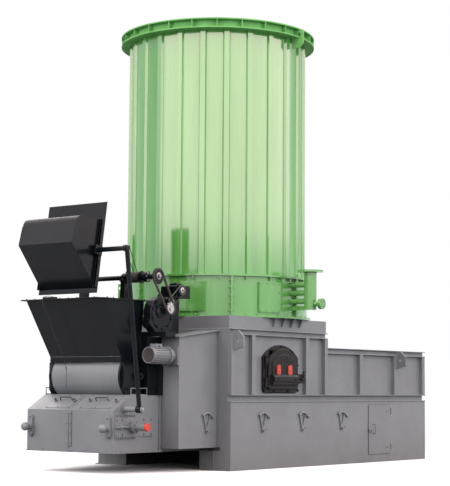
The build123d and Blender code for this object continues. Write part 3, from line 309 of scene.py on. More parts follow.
def shown_rays(tree):
    """One for the rays that show the background: camera, glossy and transmission rays."""
    mirrored = maths(tree, "MAXIMUM", rays(tree, "Is Camera Ray"), rays(tree, "Is Glossy Ray"))
    return maths(tree, "MAXIMUM", mirrored, rays(tree, "Is Transmission Ray"))


# Materials
GLOSS_SPREAD = 0.12
GRAIN_STRENGTH = 0.35
WORN_AT, CLEAN_AT = 0.36, 0.66


def finish_of(name, base, worn, roughness, scale=6.0, stretch=(1, 1, 1), metallic=0.0, specular=0.5,
              coat=0.0, mirror=1.5, polish=0.12, grain=180.0, depth=0.0006, waves=0.0,
              swells=(3.2, 3.2, 1.1), darker_foot=None):
    """Painted or bare metal: two tones in patches, uneven gloss, and fine texture.

    The coat's index is mirror and its roughness polish. The relief has a fine grain and, where
    waves isn't zero, broad swells. The last argument makes the colour darker towards the bottom: a
    tone, the height that it reaches and its share at the foot.
    """
    material = bpy.data.materials.new(name)
    material.use_nodes = True
    tree = material.node_tree
    tree.nodes.clear()
    link = tree.links.new
    out = tree.nodes.new("ShaderNodeOutputMaterial")
    shader = node(tree, "ShaderNodeBsdfPrincipled", Metallic=metallic, Specular_IOR_Level=specular,
                  Coat_Weight=coat, Coat_Roughness=polish, Coat_IOR=mirror)
    link(shader.outputs["BSDF"], out.inputs["Surface"])
    place = tree.nodes.new("ShaderNodeTexCoord").outputs["Object"]
    stretched = placed(tree, place, stretch)
    ramp = tree.nodes.new("ShaderNodeValToRGB")
    for stop, at, tone in zip(ramp.color_ramp.elements, (WORN_AT, CLEAN_AT), (worn, base)):
        stop.position = at
        stop.color = (*tone, 1)
    link(noise(tree, stretched, Scale=scale, Detail=6.0, Roughness=0.6), ramp.inputs["Fac"])
    colour = ramp.outputs["Color"]
    # Darker towards the bottom: the tone is mixed in cloudy patches, most at the foot and none above the
    # height
    if darker_foot:
        shade, height, most = darker_foot
        parts = tree.nodes.new("ShaderNodeSeparateXYZ")
        link(place, parts.inputs["Vector"])
        low = ranged(tree, parts.outputs["Z"], From_Min=height, From_Max=0.0, To_Max=most)
        cloud = noise(tree, place, Scale=3.0, Detail=8.0)
        colour = mixed(tree, maths(tree, "MULTIPLY", low, cloud), colour, shade)
    link(colour, shader.inputs["Base Color"])
    gloss = ranged(tree, noise(tree, stretched, Scale=scale * 2.3, Detail=4.0), From_Min=0.3, From_Max=0.7,
                   To_Min=max(0.03, roughness - GLOSS_SPREAD), To_Max=min(1.0, roughness + GLOSS_SPREAD))
    link(gloss, shader.inputs["Roughness"])
    normal = relief(tree, noise(tree, place, Scale=grain, Detail=3.0), GRAIN_STRENGTH, depth)
    if waves:
        broad = noise(tree, placed(tree, place, swells), Scale=1.0, Detail=1.0)
        normal = relief(tree, broad, 1.0, waves, normal)
    link(normal, shader.inputs["Normal"])
    return material


GREY, GREY_WORN = (0.152, 0.164, 0.179), (0.130, 0.140, 0.153)
# Darker tone that the grey paint takes on towards the bottom
FOOT_TONE = (0.10, 0.095, 0.09)
looks = {
    "grey_paint": finish_of("grey_paint", GREY, GREY_WORN, 0.46, scale=2.2, specular=0.32, coat=0.10,
                            waves=0.006, darker_foot=(FOOT_TONE, 0.5, 0.8)),
    "green_cladding": finish_of("green_cladding", (0.098, 0.292, 0.070), (0.072, 0.235, 0.050), 0.34,
                                scale=2.0, stretch=(2.5, 2.5, 0.25), specular=0.08, coat=1.0,
                                mirror=1.85, polish=0.10, depth=0.00008, waves=0.012,
                                swells=(9.0, 9.0, 0.10)),
    "black_paint": finish_of("black_paint", (0.0026, 0.0042, 0.0064), (0.0044, 0.0060, 0.0084), 0.38,
                             scale=3.0, specular=0.03, coat=0.24, polish=0.2, depth=0.0002, waves=0.004),
    "door_iron": finish_of("door_iron", (0.006, 0.006, 0.007), (0.012, 0.012, 0.012), 0.42,
                           scale=8.0, specular=0.12, grain=260.0, depth=0.0009),
    "red_paint": finish_of("red_paint", (0.45, 0.035, 0.02), (0.30, 0.03, 0.02), 0.40, scale=20.0),
    "machined_steel": finish_of("machined_steel", (0.36, 0.36, 0.37), (0.24, 0.235, 0.23), 0.34,
                                scale=30.0, metallic=1.0),
    "belt_rubber": finish_of("belt_rubber", (0.012, 0.012, 0.012), (0.03, 0.03, 0.03), 0.72, scale=30.0),
    "furnace_steel": finish_of("furnace_steel", (0.022, 0.022, 0.024), (0.045, 0.041, 0.038), 0.55,
                               scale=9.0, metallic=0.3, specular=0.3, grain=240.0, depth=0.001),
}
ring_green = finish_of("ring_green", (0.092, 0.325, 0.068), (0.075, 0.275, 0.052), 0.40, scale=2.5,
                       specular=0.2, coat=0.3, polish=0.15, depth=0.0001, waves=0.002)
cover_green = finish_of("cover_green", (0.155, 0.400, 0.128), (0.128, 0.345, 0.104), 0.62, scale=2.5,
                        specular=0.06)
deck_grey = finish_of("deck_grey", GREY, GREY_WORN, 0.75, scale=5.0, specular=0.03)
piece_looks = dict(looks, green_cladding=ring_green)
level_looks = {"top_cover": cover_green, "flue_collar": cover_green, "top_ring": cover_green,
               "roof_deck": deck_grey}

# Solids: their look, closed seams, eased edges, and even shading on curved ones
WELD_REACH = 0.00001
EDGE_WIDTH = 0.0022
SHARP_ANGLE = 38
CURVED_SHARE = 0.1
slot_of = {entry["node"]: entry["material_slot"] for entry in frame["record"]["subparts"]}
for name, made in frame["nodes"].items():
    for holder in made.material_slots:
        holder.material = level_looks.get(name, looks[slot_of[name]])
    joined = made.modifiers.new("joined", "WELD")
    joined.merge_threshold = WELD_REACH
    eased = made.modifiers.new("eased", "BEVEL")
    eased.width = EDGE_WIDTH
    eased.segments = 2
    eased.limit_method = "ANGLE"
    eased.angle_limit = math.radians(SHARP_ANGLE)
    curved = sum(face.use_smooth for face in made.data.polygons)
    if curved > CURVED_SHARE * len(made.data.polygons):
        even = made.modifiers.new("even", "WEIGHTED_NORMAL")
        even.weight = 100

# Drum rings: bolts of the ring's joints and small plates, and those along its foot
ring_low, ring_top = 1.650, 2.120
ring_web = 1.060
drum_top = 4.850
ring_joints = (-42.5, -104, 4.5, 137.5, 76, -175.5)
ring_plates = (-65.5, -18)
bm = bmesh.new()
for joint in ring_joints:
    along = outward(joint + 90)
    for level in (0.07, 0.15, 0.235, 0.32, 0.40):
        middle = polar(ring_web + 0.021, joint, ring_low + level)
        for side in (1, -1):
            bolt(bm, middle + along * 0.012 * side, along * side, across=0.019)
plate_spots = [(across_at, level) for across_at in (-0.13, -0.045, 0.045, 0.13) for level in (-0.15, 0.15)]
plate_spots += [(across_at, level) for level in (-0.05, 0.05) for across_at in (-0.13, 0.13)]
for plate in ring_plates:
    out, along = outward(plate), outward(plate + 90)
    middle = out * (ring_web + 0.019) + raised(ring_low + 0.224)
    for across_at, level in plate_spots:
        bolt(bm, middle + along * across_at + raised(level), out, across=0.013, washer=False)
foot_bolts = 48
for k in range(foot_bolts):
    at = (k + 0.5) * 360 / foot_bolts
    if all(abs((at - joint + 180) % 360 - 180) > 2.2 for joint in ring_joints):
        bolt(bm, polar(ring_web + 0.024, at, ring_low + 0.022), UP, across=0.017)
piece(bm, "ring_bolts", "green_cladding")

# Drum welds: round the rings, beside plates and lugs, and round the coil tubes and the header
lug_low, lug_high = 1.860, 2.060
header_x, header_radius = 1.333, 0.070
tube_radius, tube_bead = 0.030, 0.031
bm = bmesh.new()
drum_bead(bm, ring_web + 0.002, ring_low + 0.0225, 0.0035)
drum_bead(bm, ring_web + 0.002, ring_top - 0.0225, 0.0035)
drum_bead(bm, 1.0715, drum_top + 0.0155, 0.003)
for plate in ring_plates:
    out, along = outward(plate), outward(plate + 90)
    low = out * (ring_web + 0.008) + raised(ring_low + 0.059)
    for side in (-0.1455, 0.1455):
        weld(bm, low + along * side, low + along * side + raised(0.33), 0.003)
for lug in (-135, 45):
    for side in (-0.0105, 0.0105):
        start = polar(ring_web + 0.001, lug, lug_low) + outward(lug + 90) * side
        weld(bm, start, start + raised(lug_high - lug_low), 0.004)
for level in (2.024, 1.932, 1.840):
    ring = [round_x(tube_bead, a, ring_web + 0.0005) + raised(level) for a in even_turns(30)]
    sweep(bm, ring, 0.0035, sides=5, closed=True)
    saddle = []
    for a in even_turns(30):
        inward = header_radius * math.cos(math.asin(tube_radius * math.cos(a) / header_radius))
        saddle.append(round_x(tube_bead, a, header_x - inward - 0.001) + raised(level))
    sweep(bm, saddle, 0.0035, sides=5, closed=True)
header_bead = header_radius + 0.0015
collar = [Vector((header_x + header_bead * math.cos(a), header_bead * math.sin(a), 2.1565))
          for a in even_turns(60)]
sweep(bm, collar, 0.004, sides=5, closed=True)
piece(bm, "drum_welds", "green_cladding", sharp=60)

# Drain flange of the header: flush discs outside, bolts inside
drain_face = Vector((1.498, 0, 1.806))
bm = bmesh.new()
for a in even_turns(4, 0.5):
    at = drain_face + round_x(0.043, a)
    rod(bm, at - sideways(0.002), at, 0.009)
    bolt(bm, at - sideways(0.035), (-1, 0, 0), across=0.016)
piece(bm, "drain_bolts", "machined_steel")

# Winch: rope winds on the drum, bearing caps, coupling bolts and shaft end
winch = Vector((0, -1.900, 2.022))
rope_radius = 0.0042
wound_from, wound_to, wound_radius = 0.354, 0.499, 0.0535
turns, steps = 17, 16
helix = []
for i in range(turns * steps + 1):
    x = wound_from + (wound_to - wound_from) * i / (turns * steps)
    helix.append(winch + round_x(wound_radius, 2 * math.pi * i / steps, x))
bm = bmesh.new()
sweep(bm, helix, rope_radius, sides=6)
piece(bm, "rope_winds", "furnace_steel", "winch_shaft", sharp=60)

bm = bmesh.new()
for x in (0.294, -0.294):
    bearing = winch + sideways(x)
    lathe(bm, [(-0.036, 0.040), (-0.034, 0.044), (0.034, 0.044), (0.036, 0.040)], bearing, RIGHT, sides=40)
    for side in (1, -1):
        foot = bearing + Vector((0, side * 0.060, -0.034))
        slab(bm, foot - Vector((0.026, 0.018, 0.012)), foot + Vector((0.026, 0.018, 0.010)), 0.004)
        bolt(bm, foot + raised(0.010), UP, across=0.018)
    rod(bm, bearing + raised(0.040), bearing + raised(0.058), 0.005, sides=10)
    ball(bm, bearing + raised(0.060), 0.006)
piece(bm, "bearing_caps", "black_paint")

bm = bmesh.new()
for a in even_turns(6):
    bolt(bm, winch + round_x(0.040, a, 0.613), RIGHT, across=0.014)
rod(bm, winch + sideways(0.747), winch + sideways(0.753), 0.036, sides=32, bevel=0.001)
bolt(bm, winch + sideways(0.7595), RIGHT, across=0.022)
piece(bm, "winch_fasteners", "machined_steel", "winch_shaft")

# Two ropes from the rope drum to the head of the arm, and their eyes
arm_x, arm_head = 0.80, Vector((0.80, -2.476, 2.266))
rope_steps = 40
for name, reach, sag in (("rope_upper", 0.03, 0.10), ("rope_lower", -0.02, 0.0)):
    near = winch + Vector((0.43 + reach, -0.012, 0.055))
    far = Vector((arm_x, arm_head.y, 2.262 + reach))
    points = []
    for i in range(rope_steps + 1):
        t = i / rope_steps
        points.append(near.lerp(far, t) + raised(sag * math.sin(math.pi * t) * t))
    bm = bmesh.new()
    sweep(bm, points, rope_radius, sides=8)
    rope = piece(bm, name, "furnace_steel", None, sharp=60)
    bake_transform(rope)

bm = bmesh.new()
for side in (1, -1):
    eye = [arm_head + round_x(0.030, a, 0.012 * side - 0.004) for a in even_turns(30)]
    sweep(bm, eye, rope_radius, sides=6, closed=True)
piece(bm, "rope_eyes", "furnace_steel", "bucket_arm", sharp=60)

# Drive chain: alternate inner and outer link plates, rollers and pins round both wheels
PITCH = 0.0254
chain_x = 0.740
small, big = Vector((0, -1.695, 1.697)), winch
small_teeth, big_teeth = 15, 19
small_r = PITCH / (2 * math.sin(math.pi / small_teeth))
big_r = PITCH / (2 * math.sin(math.pi / big_teeth))
heading = math.atan2(big.z - small.z, big.y - small.y)
spread = math.acos((small_r - big_r) / (big - small).length)
wheel_steps = 60


def on_wheel(wheel, radius, turn):
    """Point on a wheel's pitch circle."""
    return wheel + round_x(radius, turn, chain_x)


def wheel_arc(wheel, radius, turn, arc):
    """Points on a wheel's pitch circle from one tangent point to the other."""
    return [on_wheel(wheel, radius, turn - arc * i / wheel_steps) for i in range(wheel_steps + 1)]


track = [on_wheel(small, small_r, heading + spread)]
track += wheel_arc(big, big_r, heading + spread, 2 * spread)
track += wheel_arc(small, small_r, heading - spread, 2 * math.pi - 2 * spread)[:-1]
lengths = [(b - a).length for a, b in zip(track, track[1:] + track[:1])]
links = 2 * round(sum(lengths) / PITCH / 2)
pins = []
for k in range(links):
    want = sum(lengths) * k / links
    i = 0
    while want > lengths[i]:
        want -= lengths[i]
        i += 1
    pins.append(track[i].lerp((track + track[:1])[i + 1], want / lengths[i]))
plate_thick, waist = 0.0015, 0.80
bm = bmesh.new()
for k, pin in enumerate(pins):
    after = pins[(k + 1) % links]
    run = (after - pin).normalized()
    rise = Vector(RIGHT).cross(run)
    height, gap = (0.0095, 0.0092) if k % 2 else (0.0098, 0.0076)
    for side in (1, -1):
        near = chain_x + side * gap
        faces = []
        for x in (near, near + side * plate_thick):
            ring = []
            for a in even_turns(28):
                end = after if math.cos(a) > 0 else pin
                lift = math.sin(a) * height * (waist if abs(math.cos(a)) < 0.25 else 1.0)
                at = end + run * math.cos(a) * height + rise * lift
                ring.append(bm.verts.new((x, at.y, at.z)))
            faces.append(ring)
        bridge(bm, faces)
    for half, radius, sides in ((0.0109, 0.0038, 12), (0.0074, 0.0078, 16)):
        rod(bm, pin - sideways(half), pin + sideways(half), radius, sides)
chain = piece(bm, "roller_chain", "furnace_steel", sharp=35)
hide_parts("hoist_chain")

# Gearbox: cover bolts, breather, oil plug and cap
gear = Vector((0.680, -1.765, 1.636))
motor_flange = Vector((0.630, -1.959, 1.536))
cover_circle, flange_circle = 0.153, 0.042
bm = bmesh.new()
for a in even_turns(10, 0.5):
    bolt(bm, gear + round_x(cover_circle, a, 0.005), RIGHT, across=0.015)
for a in even_turns(6):
    bolt(bm, motor_flange + round_y(flange_circle, a), FORWARD, across=0.012)
breather = gear + Vector((-0.05, 0.0, 0.178))
rod(bm, breather, breather + raised(0.018), 0.012, sides=20)
ball(bm, breather + raised(0.022), 0.014, squash=0.6)
bolt(bm, gear + Vector((0.0, -0.08, -0.13)), RIGHT, across=0.02)
piece(bm, "gearbox_bolts", "black_paint")

bm = bmesh.new()
lathe(bm, [(0.0, 0.058), (0.004, 0.060), (0.010, 0.060), (0.014, 0.050)],
      gear + Vector((0.0, -0.03, 0.02)), RIGHT, sides=40)
piece(bm, "gearbox_cap", "black_paint")

# Belt pulleys: hubs with their screws
for name, at, body, radius in (("input_hub", Vector((0.720, -1.642, 1.768)), "input_pulley", 0.026),
                               ("motor_hub", Vector((0.720, -1.475, 1.898)), "motor_pulley", 0.030)):
    face = at - sideways(0.001)
    bm = bmesh.new()
    rod(bm, at - sideways(0.006), face, radius, sides=32, bevel=0.001)
    for a in even_turns(3):
        bolt(bm, face + round_x(radius * 0.68, a), RIGHT, across=0.008, washer=False)
    piece(bm, name, "machined_steel", body)

# Hoist motor: cooling fins on both sides, fan slats at the far end, terminal box
motor_low, motor_high = (Vector(c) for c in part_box("hoist_motor"))
fin_deep, fin_thick, fin_pitch = 0.008, 0.004, 0.0115
slat_wide, slat_pitch = 0.008, 0.028
box_low, box_high = motor_low + Vector((0.06, 0.07, 0)), motor_low + Vector((0.15, 0.16, 0))
box_low.z, box_high.z = motor_high.z, motor_high.z + 0.03
bm = bmesh.new()
for k in range(9):
    z = motor_low.z + 0.014 + k * fin_pitch
    for inner, outer in ((motor_low.y, motor_low.y - fin_deep), (motor_high.y, motor_high.y + fin_deep)):
        slab(bm, (motor_low.x + 0.045, min(inner, outer), z),
             (motor_high.x - 0.02, max(inner, outer), z + fin_thick), 0.0)
for k in range(7):
    y = motor_low.y + 0.03 + k * slat_pitch
    slab(bm, (motor_low.x - 0.003, y, motor_low.z + 0.02),
         (motor_low.x, y + slat_wide, motor_high.z - 0.02), 0.0)
slab(bm, box_low, box_high, 0.004)
for x in (box_low.x + 0.02, box_high.x - 0.02):
    for y in (box_low.y + 0.015, box_high.y - 0.015):
        bolt(bm, (x, y, box_high.z), UP, across=0.008, washer=False)
piece(bm, "motor_fins", "black_paint")

# Furnace: weld beads beside its posts and lugs and along its rails and roof
front_y, step_y, rear_y = -1.05, 0.77, 2.97
rail_foot, rail_top, roof_z = 0.7245, 0.8055, 1.511
panel_face, rail_face, post_face, lug_x = 1.001, 1.041, 1.0505, 1.0515
tall_top, low_top = 1.444, 1.279
tall_posts = (front_y + 0.030, -0.656, 0.360, step_y - 0.032)
low_posts = (rear_y - 1.490, rear_y - 0.714, rear_y - 0.045)
bm = bmesh.new()
for side in (1, -1):
    for y, top in [(y, tall_top) for y in tall_posts] + [(y, low_top) for y in low_posts]:
        for edge in (-0.031, 0.031):
            weld(bm, (side * panel_face, y + edge, rail_top + 0.0005),
                 (side * panel_face, y + edge, top - 0.001), 0.0035)
        weld(bm, (side * post_face, y - 0.031, rail_top), (side * post_face, y + 0.031, rail_top), 0.003)
    weld(bm, (side * rail_face, front_y, rail_foot), (side * rail_face, rear_y, rail_foot), 0.003)
    for y, top in ((front_y + 0.046, 1.490), (rear_y - 0.680, 1.337)):
        for face in (-0.0105, 0.0105):
            weld(bm, (side * lug_x, y + face, top - 0.215), (side * lug_x, y + face, top - 0.005), 0.004)
    weld(bm, (side * panel_face, -1.030, roof_z), (side * panel_face, 0.800, roof_z), 0.004)
weld(bm, (-1.0, -1.0305, roof_z), (1.0, -1.0305, roof_z), 0.004)
weld(bm, (0.900, front_y - 0.0005, 0.252), (0.900, front_y - 0.0005, 0.724), 0.0025)
weld(bm, (0.811, front_y - 0.0005, 0.002), (0.811, front_y - 0.0005, 0.209), 0.003)
piece(bm, "furnace_welds", "grey_paint", sharp=60)

# Grate box: screws along its foot and along the flange of the side boxes
grate_front, foot_z, edge_x = -2.424, 0.220, 0.618
bm = bmesh.new()
for x in (-0.585, -0.39, -0.195, 0.0, 0.195, 0.39, 0.585):
    bolt(bm, (x, grate_front + 0.005, foot_z), UP, across=0.012)
for k in range(8):
    for side in (1, -1):
        bolt(bm, (side * edge_x, -2.38 + k * 0.095, foot_z), UP, across=0.012)
for side in (1, -1):
    for k in range(6):
        bolt(bm, (side * edge_x, -1.7205, 0.26 + 0.095 * k), FORWARD, across=0.012)
piece(bm, "grate_box_bolts", "grey_paint")

# Lids: knobs, screws, and the centre strip's fasteners
slope = math.atan2(0.157, 0.260)
lid_low = Vector((0, -2.410, 0.630 + 0.010 / math.cos(slope)))
up_slope = Vector((0, math.cos(slope), math.sin(slope)))
off_slope = Vector((0, -math.sin(slope), math.cos(slope)))


def on_lid(x, along, off):
    """Point on the sloping lids: from the left, up the slope and off it."""
    return lid_low + sideways(x) + up_slope * along + off_slope * off


bm = bmesh.new()
for x in (-0.326, -0.055, 0.164, 0.525):
    ball(bm, on_lid(x, 0.160, 0.030), 0.013, squash=0.6, along=off_slope)
    rod(bm, on_lid(x, 0.160, 0.002), on_lid(x, 0.160, 0.009), 0.018, sides=20)
for left, right in ((-0.380, -0.035), (0.110, 0.545)):
    for x in (left + 0.018, (left + right) / 2, right - 0.018):
        for along in (0.042, 0.262):
            bolt(bm, on_lid(x, along, 0.005), off_slope, across=0.009, washer=False)
for z in (0.30, 0.40, 0.50, 0.60):
    for x in (-0.024, 0.024):
        bolt(bm, (x, grate_front + 0.002, z), FORWARD, across=0.010, washer=False)
piece(bm, "lid_fasteners", "furnace_steel")

# Lid grips: bent rods with round corners
corner_radius, grip_height = 0.016, 0.030
bm = bmesh.new()
for left, right in ((-0.270, -0.095), (0.235, 0.410)):
    grip = [(left + 0.0005, 0.006)]
    for degrees in (172.6, 150, 130, 110, 90):
        a = math.radians(degrees)
        grip.append((left + 0.02005 + corner_radius * math.cos(a), grip_height + corner_radius * math.sin(a)))
    grip += [(left + right - x, off) for x, off in reversed(grip)]
    sweep(bm, [on_lid(x, 0.1719, off) for x, off in grip], 0.0058, sides=12)
piece(bm, "lid_grips", "furnace_steel")

# Light grey strips along the outer edges of the shelves beside the fuel gate, and along the hopper's lower
# fold
hopper_fold = Vector((0, -2.1950, 1.190))
bm = bmesh.new()
for side in (1, -1):
    for z in (0.797, 0.862):
        side_slab(bm, side, (0.6035, 0.6075), (-2.1515, z - 0.0005), (-1.8985, z + 0.0085), 0.001)
    for y in (-2.1515, -1.9065):
        side_slab(bm, side, (0.6005, 0.6070), (y, 0.804), (y + 0.008, 0.863), 0.001)
rod(bm, hopper_fold - sideways(0.4975), hopper_fold + sideways(0.4975), 0.0016, sides=8)
piece(bm, "shelf_edges", "grey_paint")

# Tension gear: dark strips behind the racks, painted shade in their slots; plate and boss bolts, threaded
# rods with nuts
shaft_y, shaft_z = -2.147, 0.475
plate_x, screw_x = 0.622, 0.645
bm = bmesh.new()
# Painted shade: thin near-black strips at the back of the rack slots, where only shade is
for side in (1, -1):
    for z in (shaft_z - 0.111, shaft_z + 0.111):
        side_slab(bm, side, (0.6105, 0.612), (-2.386, z - 0.012), (-2.078, z + 0.012), 0.0)
piece(bm, "rack_slot_shade", "door_iron")

bm = bmesh.new()
for side in (1, -1):
    out = (side, 0, 0)
    for y in (-2.375, -2.29, -1.96, -1.85):
        for z in (0.400, 0.550):
            bolt(bm, (side * plate_x, y, z), out, across=0.019)
    for a in even_turns(6, 0.5):
        bolt(bm, Vector((0, shaft_y, shaft_z)) + round_x(0.051, a, side * 0.6865), out,
             across=0.013, washer=False)
    rod(bm, (side * screw_x, -2.40, shaft_z), (side * screw_x, -2.215, shaft_z), 0.010, sides=16)
    for y in (-2.392, -2.36, -2.24):
        rod(bm, (side * screw_x, y, shaft_z), (side * screw_x, y + 0.014, shaft_z), 0.018, sides=6)
    side_slab(bm, side, (plate_x, 0.668), (-2.352, 0.450), (-2.340, 0.500), 0.002)
piece(bm, "tension_fasteners", "grey_paint")

# Front lugs: collars round their bosses, and bolts
lug_face = -2.438
bm = bmesh.new()
for x in (-0.545, 0.545):
    lathe(bm, [(0.0, 0.030), (0.004, 0.034), (0.016, 0.034), (0.020, 0.030)], (x, lug_face, 0.463),
          FORWARD, sides=32)
    for z in (0.385, 0.565):
        bolt(bm, (x, lug_face, z), FORWARD, across=0.020)
piece(bm, "lug_fasteners", "grey_paint")

# Fuel gate: rim screws, row of bolts in the casing, bolt on the boss, flange bolts
gate_y, gate_z, rim_radius = -1.970, 0.990, 0.236
bm = bmesh.new()
for side in (1, -1):
    out = (side, 0, 0)
    for degrees in range(110, 251, 14):
        at = Vector((side * 0.502, gate_y, gate_z)) + round_x(rim_radius, math.radians(degrees))
        if 0.81 < at.z < 1.118:
            bolt(bm, at, out, across=0.010, washer=False)
    for k in range(5):
        bolt(bm, (side * 0.530, -2.150 + 0.055 * k, 1.105), out, across=0.010)
    bolt(bm, (side * 0.590, gate_y, gate_z), out, across=0.026)
    for k in range(4):
        bolt(bm, (side * 0.634, -1.696, 0.86 + 0.065 * k), out, across=0.010)
piece(bm, "gate_fasteners", "black_paint")

# Fire door: hinge pin heads, frame bolts and latch catch on the frame
hinge_x, hinge_y, fire_y = 1.052, -0.437, -0.125
frame_face = 1.030
bm = bmesh.new()
for z in (0.935, 1.180):
    for end in (z - 0.062, z + 0.052):
        ball(bm, (hinge_x, hinge_y, end), 0.009, squash=0.7)
for y, z in ((hinge_y, 0.852), (0.187, 0.852), (hinge_y, 1.10), (0.187, 1.13), (-0.300, 1.292),
             (0.050, 1.292), (fire_y, 1.335), (-0.26, 0.845), (0.0, 0.845)):
    bolt(bm, (frame_face, y, z), RIGHT, across=0.020)
slab(bm, (frame_face, 0.178, 0.925), (1.056, 0.192, 1.035), 0.002)
piece(bm, "door_frame_bolts", "door_iron")

# Fire door: hinge rod, strap bolts, air slots over the flaps and latch with its knob
slot_low, slot_high = 1.0783, 1.0815
latch = Vector((1.103, 0.205, 0.985))
bm = bmesh.new()
rod(bm, (hinge_x, hinge_y, 0.962), (hinge_x, hinge_y, 1.153), 0.006, sides=16)
for z in (0.918, 0.952, 1.163, 1.197):
    bolt(bm, (1.0605, -0.405, z), RIGHT, across=0.012)
for k in range(5):
    y = fire_y - 0.12 + 0.06 * k
    rod(bm, (slot_low, y, 1.175), (slot_high, y, 1.175), 0.013, sides=20)
for y in (-0.175, -0.075):
    rod(bm, (slot_low, y, 1.215), (slot_high, y, 1.215), 0.011, sides=20)
slab(bm, (1.0915, 0.150, 0.966), (1.115, 0.228, 0.990), 0.004)
rod(bm, latch, latch + raised(0.067), 0.008, sides=16, bevel=0.001)
ball(bm, latch + raised(0.071), 0.014)
for y in (-0.29, 0.04):
    bolt(bm, (1.112, y, 0.975), RIGHT, across=0.016)
piece(bm, "door_fittings", "door_iron", "fire_door")

flap_x = 1.0925
bm = bmesh.new()
for y in (fire_y - 0.1255, fire_y + 0.088):
    rod(bm, (flap_x, y - 0.022, 1.128), (flap_x, y + 0.022, 1.128), 0.0045, sides=12)
    bolt(bm, (flap_x, y, 1.062), RIGHT, across=0.012)
piece(bm, "flap_fittings", "red_paint", "fire_door")

# Access door: hinge screws, pull and lock
face, pull_y = 1.0503, 1.735
lock_y, lock_z = 1.662, 0.381
bm = bmesh.new()
for z in (0.178, 0.604):
    for y in (2.035, 2.085):
        bolt(bm, (face, y, z), RIGHT, across=0.014, washer=False)
pull = [Vector((face + off, pull_y, z)) for off, z in ((0, 0.455), (0.028, 0.455), (0.034, 0.448),
                                                       (0.034, 0.352), (0.028, 0.345), (0, 0.345))]
sweep(bm, pull, 0.0055)
rod(bm, (1.0703, lock_y, lock_z), (1.078, lock_y, lock_z), 0.013, bevel=0.001)
slab(bm, (1.076, lock_y - 0.003, lock_z - 0.016), (1.084, lock_y + 0.003, lock_z + 0.016), 0.001)
piece(bm, "access_fittings", "grey_paint", "access_door")

# Access door: near-black strips in the gap at its free side, foot and top, painted shade of the gap
gap_front, gap_rear, gap_low, gap_high = 1.6365, 2.1280, 0.0965, 0.6855
gap_half = 0.0025
bm = bmesh.new()
for rear, foot, top in ((gap_front, gap_low, gap_high), (gap_rear, gap_low, gap_low),
                        (gap_rear, gap_high, gap_high)):
    slab(bm, (1.0402, gap_front - gap_half, foot - gap_half),
         (1.0406, rear + gap_half, top + gap_half), 0.0)
# Painted shade: the strips stand for the shade in the door's gap
piece(bm, "access_gap_shade", "belt_rubber")

# Dampers: lever clamps and knobs on the levers, shaft discs, nuts and quadrants on the walls
damper_z, clamp_z = 0.420, 0.434
knob_at = Vector((0, 0.094, 0.567))
knob_axis = (0, 1, -0.55)
knob = [(0.0, 0.0135), (0.003, 0.0150), (0.022, 0.0150), (0.026, 0.0125)]
short_knob = [(0.0, 0.0090), (0.002, 0.0100), (0.008, 0.0100), (0.010, 0.0085)]
dampers = (("front", 0.850, -1.228), ("second", 1.040, -0.488), ("third", 1.040, 0.258),
           ("rear", 1.040, 1.053))
for name, reach, y in dampers:
    profile, inset = (short_knob, 0.004) if name == "front" else (knob, 0.0)
    bm = bmesh.new()
    for side in (1, -1):
        x = side * (reach + 0.011)
        rod(bm, (x, y + 0.052, clamp_z), (x + side * 0.014, y + 0.052, clamp_z), 0.009, sides=16,
            bevel=0.001)
        at = knob_at + Vector((side * (reach + 0.017), y - inset, -inset))
        lathe(bm, profile, at, knob_axis, sides=20)
    piece(bm, "damper_fittings_" + name, "grey_paint", "damper_" + name)
quadrant_radius = 0.150
bm = bmesh.new()
for name, reach, y in dampers:
    for side in (1, -1):
        rod(bm, (side * reach, y, damper_z), (side * (reach + 0.002), y, damper_z), 0.034, sides=32)
        bolt(bm, (side * (reach + 0.0285), y, damper_z), (side, 0, 0), across=0.017, washer=False)
        quadrant = []
        for degrees in range(-32, 33, 4):
            a = math.radians(degrees)
            quadrant.append((side * (reach + 0.0025), y + quadrant_radius * math.sin(a),
                             damper_z + quadrant_radius * math.cos(a)))
        sweep(bm, quadrant, 0.0025, sides=6)
piece(bm, "damper_plates", "grey_paint", sharp=50)

# Hopper: corner welds, rim screws and welds of the bearing stands
rim_z, hopper_front, hopper_rear = 1.778, -2.1955, -1.9005
throat_z, fold_z, wall_top = 1.131, 1.191, 1.765
bm = bmesh.new()
for side in (1, -1):
    foot, top = side * 0.500, side * 0.545
    weld(bm, (foot, hopper_front, fold_z), (top, -2.5155, wall_top), 0.0035)
    weld(bm, (foot, hopper_front, throat_z), (foot, hopper_front, fold_z - 0.001), 0.003)
    weld(bm, (foot, hopper_rear, fold_z), (top, hopper_rear, wall_top), 0.003)
    for k in range(7):
        bolt(bm, (side * 0.562, -2.48 + 0.095 * k, rim_z), UP, across=0.012)
for k in range(9):
    bolt(bm, (-0.48 + 0.12 * k, -2.585, rim_z), UP, across=0.012)
for x in (0.294, -0.294):
    weld(bm, (x - 0.034, -1.9625, rim_z + 0.001), (x + 0.034, -1.9625, rim_z + 0.001), 0.004)
piece(bm, "hopper_details", "black_paint", sharp=50)

